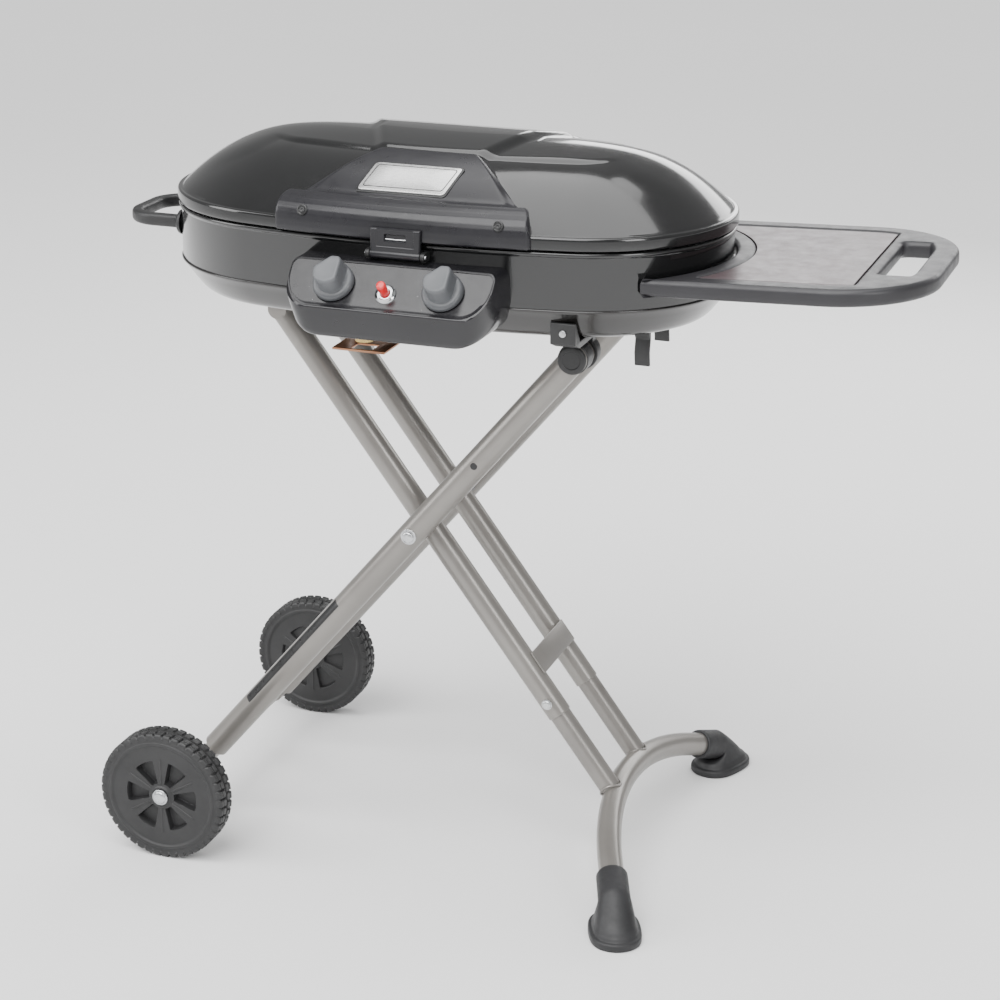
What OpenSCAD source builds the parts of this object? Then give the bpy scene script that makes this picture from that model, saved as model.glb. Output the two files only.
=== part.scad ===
// Stand-up folding propane grill: an oval firebox with a hinged lid, a side table and a
// two-burner control panel, carried on a scissor frame with two wheels and two rubber feet.
// Millimetres, +Z up, front towards -Y. The floor is z = 0.

/* [Firebox and lid] */
// Length of the oval firebox
body_l = 676; // [660:2:690]
// Depth of the oval firebox, front to back
body_w = 380; // [376:2:386]
// Radius of the oval's two ends
end_r = 175; // [170:1:178]
// Height of the firebox's top edge above the floor
seam_z = 788; // [786:1:792]
// Height of the firebox's upright wall
wall_h = 68; // [64:1:72]
// Depth of the tapered pan below the wall
pan_h = 37; // [35:1:38]
// How far the pan's bottom edge is set in from the wall
pan_inset = 30; // [26:1:32]
// Thickness of the pressed steel
sheet_t = 1.2; // [1.0:0.1:2.0]
// Height of the lid's highest point
lid_top_z = 886; // [882:1:890]

/* [Front controls] */
// Offset of the control panel, latch and lid trim from the middle of the firebox
front_x = 5; // [0:1:10]
// Width of the control panel
panel_w = 252; // [246:2:256]
// Distance between the two knobs
knob_gap = 130; // [126:1:134]
// Radius of the knob's skirt
knob_r = 24; // [22:1:25]

/* [Side table and carry handle] */
// Height of the table's top face
table_z = 757; // [754:1:758]
// Thickness of the table
table_t = 20; // [16:1:20]
// Half of the table's width
table_half = 166; // [162:1:168]
// Radius of the table's two outer corners
table_corner = 115; // [108:1:118]
// How far the table slopes up towards its far end, in degrees
table_tilt = 2; // [1.5:0.1:2.5]
// Distance from the middle of the firebox to the table's far tip
table_reach = 588; // [580:2:600]
// Distance from the middle of the firebox to the carry handle's outer face
handle_reach = 411; // [405:1:420]

/* [Folding frame] */
// Height of the wheel legs' top pivot
top_pivot_z = 651; // [650:0.5:652]
// Distance of that pivot from the middle of the firebox
top_pivot_x = 188; // [186:1:190]
// Radius of the wheel
wheel_r = 82; // [80:1:84]
// Width of the wheel
wheel_w = 33; // [30:1:34]
// Distance of the axle behind the middle of the firebox, towards the carry handle
axle_x = -288; // [-290:1:-286]
// Height of the scissor pivot above the floor
cross_z = 411; // [410:0.5:412]
// Angle of the foot frame from upright
foot_angle = 37; // [36.9:0.1:37.1]
// Radius of the wheel-leg tubes
leg_a_r = 16; // [15.5:0.25:16]
// Radius of the foot-leg tubes
leg_b_r = 15; // [14.5:0.25:15]

/* [Hidden] */
$fn = 48;

enamel = "#191a1b";
plastic = "#26262a";
steel = "#98948e";
bright = "#c9c9c6";
iron = "#2e2d2c";
grip_grey = "#7d7f82";

// the origin is the middle of the whole object's footprint
shift_x = (handle_reach - table_reach) / 2;
module place() { translate([shift_x, 0, 0]) children(); }

// ---- the oval of the firebox: two long arcs and two end arcs ----
long_r = (pow(body_l / 2 - end_r, 2) + pow(body_w / 2, 2) - pow(end_r, 2)) / (body_w - 2 * end_r);
long_c = long_r - body_w / 2;
end_c = body_l / 2 - end_r;
long_a = atan2(end_c, long_c);
end_steps = 12;
long_steps = 10;

// directions of the outline's outward normal along the front half, left tip to right tip
front_dirs = concat(
  [for (i = [0:end_steps - 1]) 180 + (i + 0.5) * (90 - long_a) / end_steps],
  [for (i = [0:long_steps]) 270 - long_a + 2 * long_a * i / long_steps],
  [for (i = [0:end_steps - 1]) 270 + long_a + (i + 0.5) * (90 - long_a) / end_steps]);
half_n = len(front_dirs);
oval_dirs = concat(front_dirs, [for (i = [half_n - 1:-1:0]) 360 - front_dirs[i]]);

// the point of the outline, set in by d, whose outward normal points along a
function oval_pt(a, d) =
  abs(cos(a)) <= sin(long_a) + 0.0001
    ? [(long_r - d) * cos(a), (long_r - d) * sin(a) - sign(sin(a)) * long_c]
    : [(end_r - d) * cos(a) + sign(cos(a)) * end_c, (end_r - d) * sin(a)];
function oval(d) = [for (a = oval_dirs) oval_pt(a, d)];
function oval_ring(d, z) = [for (p = oval(d)) [p[0], p[1], z]];

// y of the oval's front edge at x, set in by d
function front_y(x, d = 0) =
  abs(x) < (long_r - d) * sin(long_a)
    ? -(sqrt(pow(long_r - d, 2) - x * x) - long_c)
    : -sqrt(pow(end_r - d, 2) - pow(abs(x) - end_c, 2));

// distance in from the outline at a point
function inset_at(x, y) =
  let (ax = abs(x), ay = abs(y))
  atan2(ax, ay + long_c) < long_a
    ? long_r - norm([ax, ay + long_c])
    : end_r - norm([ax - end_c, ay]);

// ---- the lid's outer surface ----
rim_z = 808;        // foot of the shoulder, above the rim's step
band_rise = 6;      // the raised band across the middle
waist_half = 62;    // half the band's width where it is narrowest
waist_y = -82;
band_flare = 0.42;  // how fast the band widens towards the back

function ramp(t) = let (c = max(0, min(1, t))) c * c * (3 - 2 * c);
function soft_min(a, b, k) =
  let (h = max(k - abs(a - b), 0) / k) min(a, b) - h * h * k / 4;
function shoulder_end(d) =
  rim_z - 4 + 77 * (1 - pow(1 - min(d, 170) / 170, 2.2)) + 0.5 * max(d - 145, 0);
function shoulder_side(d) =
  rim_z - 2 + 60 * (1 - pow(1 - min(d, 122) / 122, 1.6)) + 0.8 * max(d - 112, 0);
function band_half(y) =
  waist_half + (y > waist_y ? (y - waist_y) * band_flare : (waist_y - y) * 0.85);
function dome(x, y) =
  let (d = inset_at(x, y),
       away = norm([max(abs(x) - end_c, 0), abs(y)]),
       endness = pow(max(abs(x) - end_c, 0) / max(away, 1), 2),
       shoulder = endness * shoulder_end(d) + (1 - endness) * shoulder_side(d),
       wing = lid_top_z - band_rise - 0.17 * abs(y)
              - 20 * pow(max(abs(x) - waist_half, 0) / 205, 4) - 0.0004 * y * y,
       base = soft_min(wing, shoulder, 10))
  base + band_rise * ramp((band_half(y) - abs(x)) / 14 + 0.5) * ramp(d / 60);

// ---- general shapes ----
// closed loft through rings of equal length; the caps are strips between the two halves
function strip_cap(base, n, up) =
  [for (i = [0:n / 2 - 2])
    up ? [base + i, base + n - 1 - i, base + n - 2 - i, base + i + 1]
       : [base + i, base + i + 1, base + n - 2 - i, base + n - 1 - i]];
function band_faces(a, b, n) =
  [for (i = [0:n - 1]) [a + i, b + i, b + (i + 1) % n, a + (i + 1) % n]];

// a thin pressed shell, open below: outer rings from the rim up, inner rings from the rim up
module pressed_shell(outer, inner) {
  n = len(outer[0]);
  ko = len(outer);
  ki = len(inner);
  inner_base = ko * n;
  polyhedron(
    points = [for (r = concat(outer, inner)) each r],
    faces = concat(
      [for (k = [0:ko - 2]) each band_faces(k * n, (k + 1) * n, n)],
      strip_cap((ko - 1) * n, n, true),
      [for (k = [0:ki - 2]) each band_faces(inner_base + (k + 1) * n, inner_base + k * n, n)],
      strip_cap(inner_base + (ki - 1) * n, n, false),
      band_faces(inner_base, 0, n)));
}

module rod(p1, p2, r) {
  v = p2 - p1;
  translate(p1) rotate([0, acos(v[2] / norm(v)), atan2(v[1], v[0])]) cylinder(h = norm(v), r = r);
}
module along_y(x, z, y1, y2, r) {
  translate([x, y1, z]) rotate([-90, 0, 0]) cylinder(h = y2 - y1, r = r);
}
module along_x(y, z, x1, x2, r) {
  translate([x1, y, z]) rotate([0, 90, 0]) cylinder(h = x2 - x1, r = r);
}
module box(a, b) { translate(a) cube(b - a); }
module oval_wall(d, t, z1, z2) {
  translate([0, 0, z1]) linear_extrude(z2 - z1) difference() { polygon(oval(d)); polygon(oval(d + t)); }
}
module front_and_back() { children(); mirror([0, 1, 0]) children(); }

// ================= firebox =================
wall_z = seam_z - wall_h;
pan_z = wall_z - pan_h;
bead = 3;

module firebox_wall() color(enamel) place() difference() {
  union() {
    oval_wall(0, sheet_t, wall_z, seam_z);
    oval_wall(-bead, bead + 0.5, seam_z - 6, seam_z);
  }
  for (s = [-1, 1]) along_y(panel_x + s * knob_gap / 2, burner_z, -220, -150, burner_tube_r + 1);
}

module bottom_pan() color(enamel) place()
  translate([0, 0, 2 * wall_z]) mirror([0, 0, 1]) mirror([0, 1, 0])
    pressed_shell(
      [oval_ring(0, wall_z), oval_ring(pan_inset * 0.8, wall_z + pan_h * 0.86),
       oval_ring(pan_inset + 4, wall_z + pan_h), oval_ring(end_r - 20, wall_z + pan_h)],
      [oval_ring(sheet_t, wall_z), oval_ring(pan_inset * 0.8 + sheet_t, wall_z + pan_h * 0.86 - 1),
       oval_ring(pan_inset + 5, wall_z + pan_h - sheet_t),
       oval_ring(end_r - 20, wall_z + pan_h - sheet_t)]);

tray_z = pan_z + 6;
tray_t = 1;
module drip_tray() color(bright) place() {
  translate([0, 0, tray_z]) linear_extrude(tray_t) polygon(oval(42));
  oval_wall(42, tray_t, tray_z + tray_t, tray_z + 14);
}

// ================= burners and gas =================
burner_x = 150;
burner_z = 741;
burner_ring_r = 54;
burner_tube_r = 7;
burner_rim_r = 9;
knob_z = 746;
face_top = [-214, 768];      // y and z of the panel face's top edge
face_low = [-257, 721.5];    // y and z of the crease at its bottom
panel_x = front_x + 3;       // middle of the panel and its knobs
igniter_x = panel_x - 1;
igniter_z = knob_z - 6;
face_tilt = atan2(face_top[0] - face_low[0], face_top[1] - face_low[1]);
function face_y(z) = face_top[0] - (face_top[1] - z) * tan(face_tilt);
valve_y = face_y(knob_z) + 22;
// draws at the panel's face: local +Z points out of the face, local +Y up it
module on_face(x, z, lift = 0) {
  translate([x, face_y(z), z]) rotate([90 - face_tilt, 0, 0]) translate([0, 0, lift]) children();
}

module burner(s) color(bright) place() {
  x = s * burner_x;
  bend = [panel_x + s * knob_gap / 2, -160, burner_z];
  difference() {
    union() {
      translate([x, 12, burner_z]) rotate_extrude() translate([burner_ring_r, 0]) circle(burner_rim_r);
      rod([x, 12 - burner_ring_r, burner_z], bend, burner_tube_r);
      translate(bend) sphere(r = burner_tube_r + 0.6);
      along_y(bend[0], burner_z, -202, bend[1], burner_tube_r);
    }
    for (a = [0:15:345])
      translate([x, 12, burner_z]) rotate([0, 0, a]) translate([burner_ring_r, 0, 0])
        cylinder(h = burner_rim_r + 2, r = 1.5);
  }
}
module burner_left() burner(-1);
module burner_right() burner(1);

valve_body_r = 9;
stem_r = 4;
stem_flat = 2.5;             // distance of the stem's flat from its middle
module on_valve(s, lift) { on_face(panel_x + s * knob_gap / 2, knob_z, lift) children(); }
module gas_valves() color("#b59a55") place()
  for (s = [-1, 1]) difference() {
    on_valve(s, -26) cylinder(h = 20, r = valve_body_r);
    on_valve(s, -14) cylinder(h = 12, r = stem_r + 0.05);
    manifold_core();
  }
module valve_stem(s) color("#b59a55") place() on_valve(s, -13.5) difference() {
  cylinder(h = 25, r = stem_r);
  translate([-6, stem_flat, 15]) cube([12, 6, 11]);
}
module valve_stem_left() valve_stem(-1);
module valve_stem_right() valve_stem(1);
manifold_y = valve_y - 2;
manifold_z = knob_z - 18;
manifold_r = 6;
module manifold_core() along_x(manifold_y, manifold_z, panel_x - 90, panel_x + 90, manifold_r);
module gas_manifold() color(bright) place() manifold_core();

// brass fitting below the manifold, where a regulator screws in from underneath
inlet_x = front_x - 38;
inlet_y = -204;
inlet_r = 6.6;
inlet_depth = 16;
inlet_low_z = 674;
module gas_inlet() color("#b59a55") place() difference() {
  translate([inlet_x, inlet_y, inlet_low_z]) cylinder(h = manifold_z - inlet_low_z, r = 11);
  translate([inlet_x, inlet_y, inlet_low_z - 1]) cylinder(h = inlet_depth + 1, r = inlet_r);
  manifold_core();
  body_cut(0.3, wall_z - 8, seam_z);
}

plate_z = 664;
module regulator_bracket() color(bright) place() difference() {
  union() {
    box([inlet_x - 34, inlet_y - 15, plate_z], [inlet_x + 30, -160, plate_z + 2.5]);
    for (s = [-1, 1])
      box([inlet_x + s * 24 - 4, -165, plate_z], [inlet_x + s * 24 + 4, -162.5, pan_z + 2]);
  }
  box([inlet_x - 13, inlet_y - 11.5, plate_z - 1], [inlet_x + 13, inlet_y + 13, plate_z + 4]);
}

// ================= control panel =================
panel_low = [-250, 686];     // y and z of its bottom lip
panel_t = 3;
panel_corner = 36;
module panel_profile(inset) {
  rotate([90, 0, 90]) linear_extrude(panel_w * 2, center = true)
    polygon([[-150, face_top[1] - inset], [face_top[0] + inset, face_top[1] - inset],
             [face_low[0] + inset, face_low[1]], [panel_low[0] + inset, panel_low[1] - inset],
             [-150, panel_low[1] - inset]]);
}
module panel_outline(inset) {
  w = panel_w / 2 - inset;
  r = panel_corner - inset;
  translate([panel_x, -120, 0]) rotate([90, 0, 0]) linear_extrude(200) union() {
    translate([-w, panel_low[1] + panel_corner]) square([2 * w, 200]);
    translate([-(panel_w / 2 - panel_corner), panel_low[1] + inset]) square([panel_w - 2 * panel_corner, 100]);
    for (s = [-1, 1]) translate([s * (panel_w / 2 - panel_corner), panel_low[1] + panel_corner]) circle(r);
  }
}
module panel_solid(inset) {
  intersection() { panel_profile(inset); panel_outline(inset); }
}
module control_panel() color(plastic) place() difference() {
  panel_solid(0);
  panel_solid(panel_t);
  translate([0, 0, wall_z - 60]) linear_extrude(140) polygon(oval(-0.5));
  for (s = [-1, 1]) on_face(panel_x + s * knob_gap / 2, knob_z, -8) cylinder(h = 16, r = 6);
  on_face(igniter_x, igniter_z, -8) cylinder(h = 16, r = 6.5);
  translate([inlet_x, inlet_y, panel_low[1] - 5]) cylinder(h = 12, r = 12);
}

module igniter_collar() color(bright) place() on_face(igniter_x, igniter_z, 0.05)
  difference() { cylinder(h = 4, r = 12.5); translate([0, 0, -1]) cylinder(h = 8, r = 5.5); }
module igniter_unit() color(plastic) place() on_face(igniter_x, igniter_z, -17) cylinder(h = 10, r = 10);
module igniter_button() color("#c4161c") place() on_face(igniter_x, igniter_z, -2)
  cylinder(h = 24, r = 5.4);

electrode_gap = burner_ring_r + burner_rim_r + 3.7;
module spark_electrodes() color("#e8e4da") place()
  for (s = [-1, 1]) {
    translate([s * (burner_x + electrode_gap), 12, burner_z - 16]) cylinder(h = 20, r = 3.5);
    translate([s * (burner_x + electrode_gap), 12, burner_z + 4]) cylinder(h = 12, r = 1.2);
  }

// ================= knobs =================
grip_r = 17;
module knob(s) color(grip_grey) place() on_face(panel_x + s * knob_gap / 2, knob_z, 0.6) difference() {
  union() {
    cylinder(h = 8, r = knob_r);
    // the grip: round below, a straight side on the right and a slope up to its point
    translate([0, 0, 8]) linear_extrude(22) intersection() {
      union() {
        circle(grip_r);
        polygon([[-grip_r, 0], [-grip_r * 0.97, 4], [1, grip_r + 3], [11, grip_r + 3], [14, grip_r], [14, 0]]);
      }
      translate([-30, -30]) square([44, 60]);
    }
  }
  translate([0, 0, -1]) difference() {
    cylinder(h = 12.5, r = stem_r);
    translate([-6, stem_flat, 2.5]) cube([12, 6, 20]);
  }
}
module knob_left() knob(-1);
module knob_right() knob(1);

// ================= grates =================
grate_z = seam_z - 14;
grate_t = 8;
bar_gap = 19;
module grate_half() translate([0, 0, grate_z]) linear_extrude(grate_t) {
  intersection() {
    polygon(oval(sheet_t + 2));
    difference() {
      union() {
        difference() {
          translate([4, -300]) square([400, 600]);
          intersection() { polygon(oval(sheet_t + 14)); translate([14, -300]) square([400, 600]); }
        }
        for (i = [1:16]) translate([4 + i * bar_gap, -300]) square([8, 600]);
        for (y = [-70, 70]) translate([4, y - 4]) square([400, 8]);
      }
      translate([400, -300]) square([100, 600]);
    }
  }
}
module grate_left() color(iron) place() mirror([1, 0, 0]) grate_half();
module grate_right() color(iron) place() grate_half();

// ================= latch =================
latch_w = 60;
latch_y = -204;
latch_z = 776;
latch_top = 806;
pin_r = 2.5;
module latch() color(plastic) place() difference() {
  union() {
    box([front_x - latch_w / 2, latch_y - 3, latch_z - 5], [front_x + latch_w / 2, latch_y + 2, latch_top]);
    along_x(latch_y, latch_z, front_x - latch_w / 2, front_x + latch_w / 2, 5);
  }
  box([front_x - 13, latch_y - 4, latch_top - 14], [front_x + 13, latch_y + 3, latch_top - 7]);
  along_x(latch_y, latch_z, front_x - 60, front_x + 60, pin_r + 0.05);
}
module latch_pin() color(bright) place()
  along_x(latch_y, latch_z, front_x - latch_w / 2 - 7, front_x + latch_w / 2 + 7, pin_r);
module latch_bracket() color(plastic) place() for (s = [-1, 1]) {
  x = front_x + s * (latch_w / 2 + 3);
  difference() {
    union() {
      box([x - 2.5, latch_y, latch_z - 6], [x + 2.5, -185, latch_z + 5]);
      along_x(latch_y, latch_z, x - 2.5, x + 2.5, 5);
    }
    along_x(latch_y, latch_z, x - 10, x + 10, pin_r);
    translate([0, 0, wall_z]) linear_extrude(wall_h - 6) polygon(oval(0));
    translate([0, 0, seam_z - 6]) linear_extrude(30) polygon(oval(-bead));
  }
}

// ================= carry handle =================
handle_z = 756;
handle_bar = 16;
handle_half = 65;
handle_bend = 44;
module handle_plan(inset) {
  r = handle_bend - inset;
  for (s = [-1, 1]) translate([-handle_reach + handle_bend, s * (handle_half - handle_bend)]) circle(r);
  translate([-handle_reach + inset, -(handle_half - handle_bend)])
    square([handle_bend, 2 * (handle_half - handle_bend)]);
  translate([-handle_reach + handle_bend, -(handle_half - inset)]) square([90, 2 * (handle_half - inset)]);
}
module carry_handle() color(plastic) place() difference() {
  translate([0, 0, handle_z - 7]) linear_extrude(14) difference() { handle_plan(0); handle_plan(handle_bar); }
  translate([0, 0, wall_z]) linear_extrude(wall_h) polygon(oval(-0.2));
}

// ================= side table =================
table_y = 24;
table_start = 262;           // its inner edge, where it meets the firebox
table_rim = 30;
// length in its own plane, so that its far tip comes to table_reach
table_tip = table_start + (table_reach - table_start - table_t * sin(table_tilt)) / cos(table_tilt);
corner_x = table_tip - table_corner;
corner_y = table_half - table_corner;
slot_half = 82;
slot_y = 30;
slot_in = 518;
module on_table() {
  translate([table_start, 0, table_z]) rotate([0, -table_tilt, 0]) translate([-table_start, 0, -table_z])
    children();
}
module table_plan(inset) {
  half = table_half - inset;
  for (s = [-1, 1]) translate([corner_x, table_y + s * corner_y]) circle(table_corner - inset, $fn = 96);
  translate([table_start - 1, table_y - half]) square([corner_x - table_start + 1, 2 * half]);
  translate([corner_x - 1, table_y - corner_y]) square([table_corner - inset + 1, 2 * corner_y]);
}
module body_cut(gap, z1, z2) {
  translate([0, 0, z1]) linear_extrude(z2 - z1) polygon(oval(-gap));
}
slot_edge = 503;             // where the panel ends and the solid grip begins
panel_depth = 5;
web_t = 4;
web_z = table_z - panel_depth - web_t;
module panel_plan() intersection() {
  table_plan(table_rim);
  translate([0, -300]) square([slot_edge, 700]);
}
module slot_plan() intersection() {
  table_plan(table_rim);
  translate([slot_in, slot_y - slot_half]) square([100, 2 * slot_half]);
}
module table_frame() color(plastic) place() difference() {
  on_table() {
    translate([0, 0, table_z - table_t]) linear_extrude(table_t) difference() {
      table_plan(0);
      panel_plan();
      slot_plan();
    }
    translate([0, 0, web_z]) linear_extrude(web_t) panel_plan();
  }
  body_cut(1.5, 700, 800);
}
module table_panel() color("#4c4144") place() difference() {
  on_table() translate([0, 0, table_z - panel_depth]) linear_extrude(panel_depth) panel_plan();
  body_cut(1.5, 700, 800);
}
bracket_t = 3;
module table_brackets() color(bright) place() for (y = [table_y - 90, table_y + 90]) difference() {
  on_table() box([225, y - 12, web_z - bracket_t], [480, y + 12, web_z]);
  body_cut(0.2, 700, 800);
}

// ================= folding frame =================
leg_a_y = 104.4;
leg_b_y = 55.8;
tube_wall = 1.5;
top_pivot = [top_pivot_x, top_pivot_z];
axle = [axle_x, wheel_r];
leg_dir = (axle - top_pivot) / norm(axle - top_pivot);
cross_x = top_pivot_x + leg_dir[0] * (top_pivot_z - cross_z) / -leg_dir[1];
foot_dir = [sin(foot_angle), -cos(foot_angle)];
arm = norm([cross_x - top_pivot_x, cross_z - top_pivot_z]);
function on_b(s, y) = [cross_x + foot_dir[0] * s, y, cross_z + foot_dir[1] * s];
function on_a(s, y) = [top_pivot[0] + leg_dir[0] * s, y, top_pivot[1] + leg_dir[1] * s];

hub_r = 17;
pivot_pin_r = 8;
bolt_r = 4;
axle_tube_r = 9.5;
axle_rod_r = 5;
boss_in = leg_b_y + leg_b_r + 2;
boss_out = leg_a_y - leg_a_r - 0.5;

module wheel_leg() difference() {
  union() {
    difference() {
      rod(on_a(4, -leg_a_y), on_a(norm(axle - top_pivot), -leg_a_y), leg_a_r);
      rod(on_a(22, -leg_a_y), on_a(norm(axle - top_pivot) + 5, -leg_a_y), leg_a_r - tube_wall);
    }
    along_y(top_pivot[0], top_pivot[1], -leg_a_y - leg_a_r, -leg_a_y + leg_a_r, hub_r);
  }
  along_y(axle[0], axle[1], -200, 0, axle_tube_r);
  translate([axle[0], -leg_a_y, axle[1]]) rotate([0, atan2(-leg_dir[0], -leg_dir[1]) , 0])
    translate([-30, -30, -42]) cube([60, 60, 42]);
  along_y(top_pivot[0], top_pivot[1], -200, 0, pivot_pin_r);
  along_y(cross_x, cross_z, -200, 0, bolt_r);
}
module wheel_leg_front() color(steel) place() wheel_leg();
module wheel_leg_rear() color(steel) place() mirror([0, 1, 0]) wheel_leg();

module top_pivot_pins() color(bright) place() front_and_back()
  along_y(top_pivot[0], top_pivot[1], -leg_a_y - leg_a_r, -boss_in, pivot_pin_r);
module top_pivot_caps() color(plastic) place() front_and_back() {
  along_y(top_pivot[0], top_pivot[1], -leg_a_y - leg_a_r - 5, -leg_a_y - leg_a_r, hub_r);
}

module pivot_bracket() difference() {
  union() {
    translate([top_pivot[0] + 3, 0, 0]) rotate([90, 0, 90]) linear_extrude(30, center = true)
      polygon([[-168, pan_z - 2], [-168, pan_z + 22], [-165.5, pan_z + 23.5],
               [-149, pan_z - 0.6], [-boss_in, pan_z - 0.6], [-boss_in, pan_z - 9], [-150, pan_z - 9]]);
    box([top_pivot[0] - 14, -boss_out, top_pivot[1]], [top_pivot[0] + 14, -boss_in, pan_z - 0.6]);
    along_y(top_pivot[0], top_pivot[1], -boss_out, -boss_in, 20);
  }
  along_y(top_pivot[0], top_pivot[1], -200, 0, pivot_pin_r + 0.05);
}
module pivot_bracket_front() color(plastic) place() pivot_bracket();
module pivot_bracket_rear() color(plastic) place() mirror([0, 1, 0]) pivot_bracket();

module frame_screws() color(bright) place() {
  front_and_back() along_y(top_pivot[0] + 3, pan_z + 11, -170, -168, 4);
  on_table() for (x = [400, 460], y = [table_y - 90, table_y + 90])
    translate([x, y, web_z - bracket_t - 3]) cylinder(h = 3, r = 5);
}

axle_half = 252;
module axle_tube() color(steel) place() difference() {
  along_y(axle[0], axle[1], -axle_half + wheel_w + 1.5, axle_half - wheel_w - 1.5, axle_tube_r);
  along_y(axle[0], axle[1], -axle_half, axle_half, axle_rod_r);
}
module axle_rod() color(bright) place()
  along_y(axle[0], axle[1], -axle_half - 1, axle_half + 1, axle_rod_r);
module axle_caps() color(bright) place() front_and_back() difference() {
  along_y(axle[0], axle[1], -axle_half - 5, -axle_half + 0.7 - 1.2, 10);
  along_y(axle[0], axle[1], -axle_half - 1, -axle_half + 10, axle_rod_r);
}

module wheel(side) {
  inner_r = 45;
  pockets = 6;
  difference() {
    along_y(0, 0, -wheel_w / 2, wheel_w / 2, wheel_r);
    along_y(0, 0, -wheel_w, wheel_w, axle_rod_r + 0.05);
    for (k = [0:pockets - 1]) rotate([0, k * 360 / pockets, 0])
      translate([0, -side * (wheel_w / 2 + 1), 0]) mirror([0, side < 0 ? 1 : 0, 0])
        rotate([-90, 0, 0]) linear_extrude(19)
          polygon([[20 * cos(-12), 20 * sin(-12)], [inner_r * cos(-20), inner_r * sin(-20)],
                   [inner_r + 1, 0], [inner_r * cos(20), inner_r * sin(20)], [20 * cos(12), 20 * sin(12)]]);
    // tread blocks: notches around both shoulders
    for (k = [0:29]) rotate([0, k * 12, 0])
      for (y = [-1, 1]) translate([wheel_r - 3, y > 0 ? 6 : -wheel_w, -3]) cube([10, wheel_w - 6, 6]);
  }
}
module wheel_front() color(plastic) place()
  translate([axle[0], -axle_half + wheel_w / 2, axle[1]]) wheel(1);
module wheel_rear() color(plastic) place()
  translate([axle[0], axle_half - wheel_w / 2, axle[1]]) wheel(-1);

module scissor_bolts() color(bright) place() front_and_back() {
  along_y(cross_x, cross_z, -leg_a_y - leg_a_r - 0.6, -leg_b_y + leg_b_r + 8, bolt_r);
  along_y(cross_x, cross_z, -leg_a_y - leg_a_r - 5, -leg_a_y - leg_a_r - 0.6, 7.5);
}
module scissor_spacers() color(plastic) place() front_and_back() difference() {
  along_y(cross_x, cross_z, -leg_a_y + leg_a_r + 0.2, -leg_b_y - leg_b_r - 0.4, 11);
  along_y(cross_x, cross_z, -200, 0, bolt_r);
}

// ---- foot frame ----
collar_s = 288;
lower_in = 36;
lower_r = leg_b_r - tube_wall - 0.1;
arch_s = 405.5;
arch_r = 371;
arch_angle = 28.6;
arch_tilt = 47.5;            // the arch's own plane, from upright
arch_bar_r = 15;
arch_end_y = 238;

module upper_leg() difference() {
  rod(on_b(-arm, -leg_b_y), on_b(collar_s, -leg_b_y), leg_b_r);
  rod(on_b(-arm - 5, -leg_b_y), on_b(collar_s + 1, -leg_b_y), leg_b_r - tube_wall);
  translate(on_b(-arm, 0)) rotate([90, 0, 0]) cylinder(h = 400, r = crossbar_r, center = true);
  along_y(cross_x, cross_z, -200, 0, bolt_r + 0.05);
  translate(on_b(-arm, -leg_b_y)) rotate([0, -foot_angle, 0]) translate([-30, -30, 0]) cube([60, 60, 42]);
  translate(on_b(collar_s - 20, 0)) rotate([90, 0, 0]) cylinder(h = 400, r = 3);
}
crossbar_r = 12;
module upper_leg_front() color(steel) place() upper_leg();
module upper_leg_rear() color(steel) place() mirror([0, 1, 0]) upper_leg();

arch_end_len = (arch_end_y - arch_r * sin(arch_angle)) / cos(arch_angle);
// draws at the start of the arch's straight end, local +Z along it
module arch_end() {
  translate([arch_r * (1 - cos(arch_angle)), -arch_r * sin(arch_angle), 0])
    rotate([90, 0, arch_angle]) children();
}
module on_arch() { translate(on_b(arch_s, 0)) rotate([0, 90 - arch_tilt, 0]) children(); }
module arch_bar(r) {
  on_arch() {
    translate([arch_r, 0, 0]) rotate([0, 0, 180 - arch_angle]) rotate_extrude(angle = 2 * arch_angle)
      translate([arch_r, 0]) circle(r);
    front_and_back() arch_end() translate([0, 0, -3]) cylinder(h = arch_end_len + 3, r = r - 0.05);
  }
}
module lower_leg() difference() {
  rod(on_b(collar_s - lower_in, -leg_b_y), on_b(arch_s, -leg_b_y), lower_r);
  rod(on_b(collar_s - lower_in - 1, -leg_b_y), on_b(arch_s + 1, -leg_b_y), lower_r - tube_wall);
  arch_bar(arch_bar_r);
  translate(on_b(arch_s, -leg_b_y)) rotate([0, -foot_angle, 0]) translate([-30, -30, -30]) cube([60, 60, 30 + 4]);
  translate(on_b(collar_s - 20, 0)) rotate([90, 0, 0]) cylinder(h = 400, r = 3);
}
module lower_leg_front() color(steel) place() lower_leg();
module lower_leg_rear() color(steel) place() mirror([0, 1, 0]) lower_leg();

module foot_arch() color(steel) place() arch_bar(arch_bar_r);

module top_crossbar() color(steel) place()
  translate(on_b(-arm, 0)) rotate([90, 0, 0]) cylinder(h = 2 * (leg_b_y + leg_b_r), r = crossbar_r, center = true);

brace_s = 220;
module brace_plate() color(steel) place()
  translate(on_b(brace_s, 0)) rotate([0, -foot_angle, 0])
    box([leg_b_r, -leg_b_y - 4, -15], [leg_b_r + 2, leg_b_y + 4, 15]);

module leg_bolts() color(bright) place() front_and_back() {
  translate(on_b(collar_s - 20, -leg_b_y)) rotate([90, 0, 0]) cylinder(h = 2 * leg_b_r + 3, r = 3, center = true);
  translate(on_b(collar_s - 20, -leg_b_y - leg_b_r - 0.6)) rotate([90, 0, 0]) cylinder(h = 3, r = 5.5);
}

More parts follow.
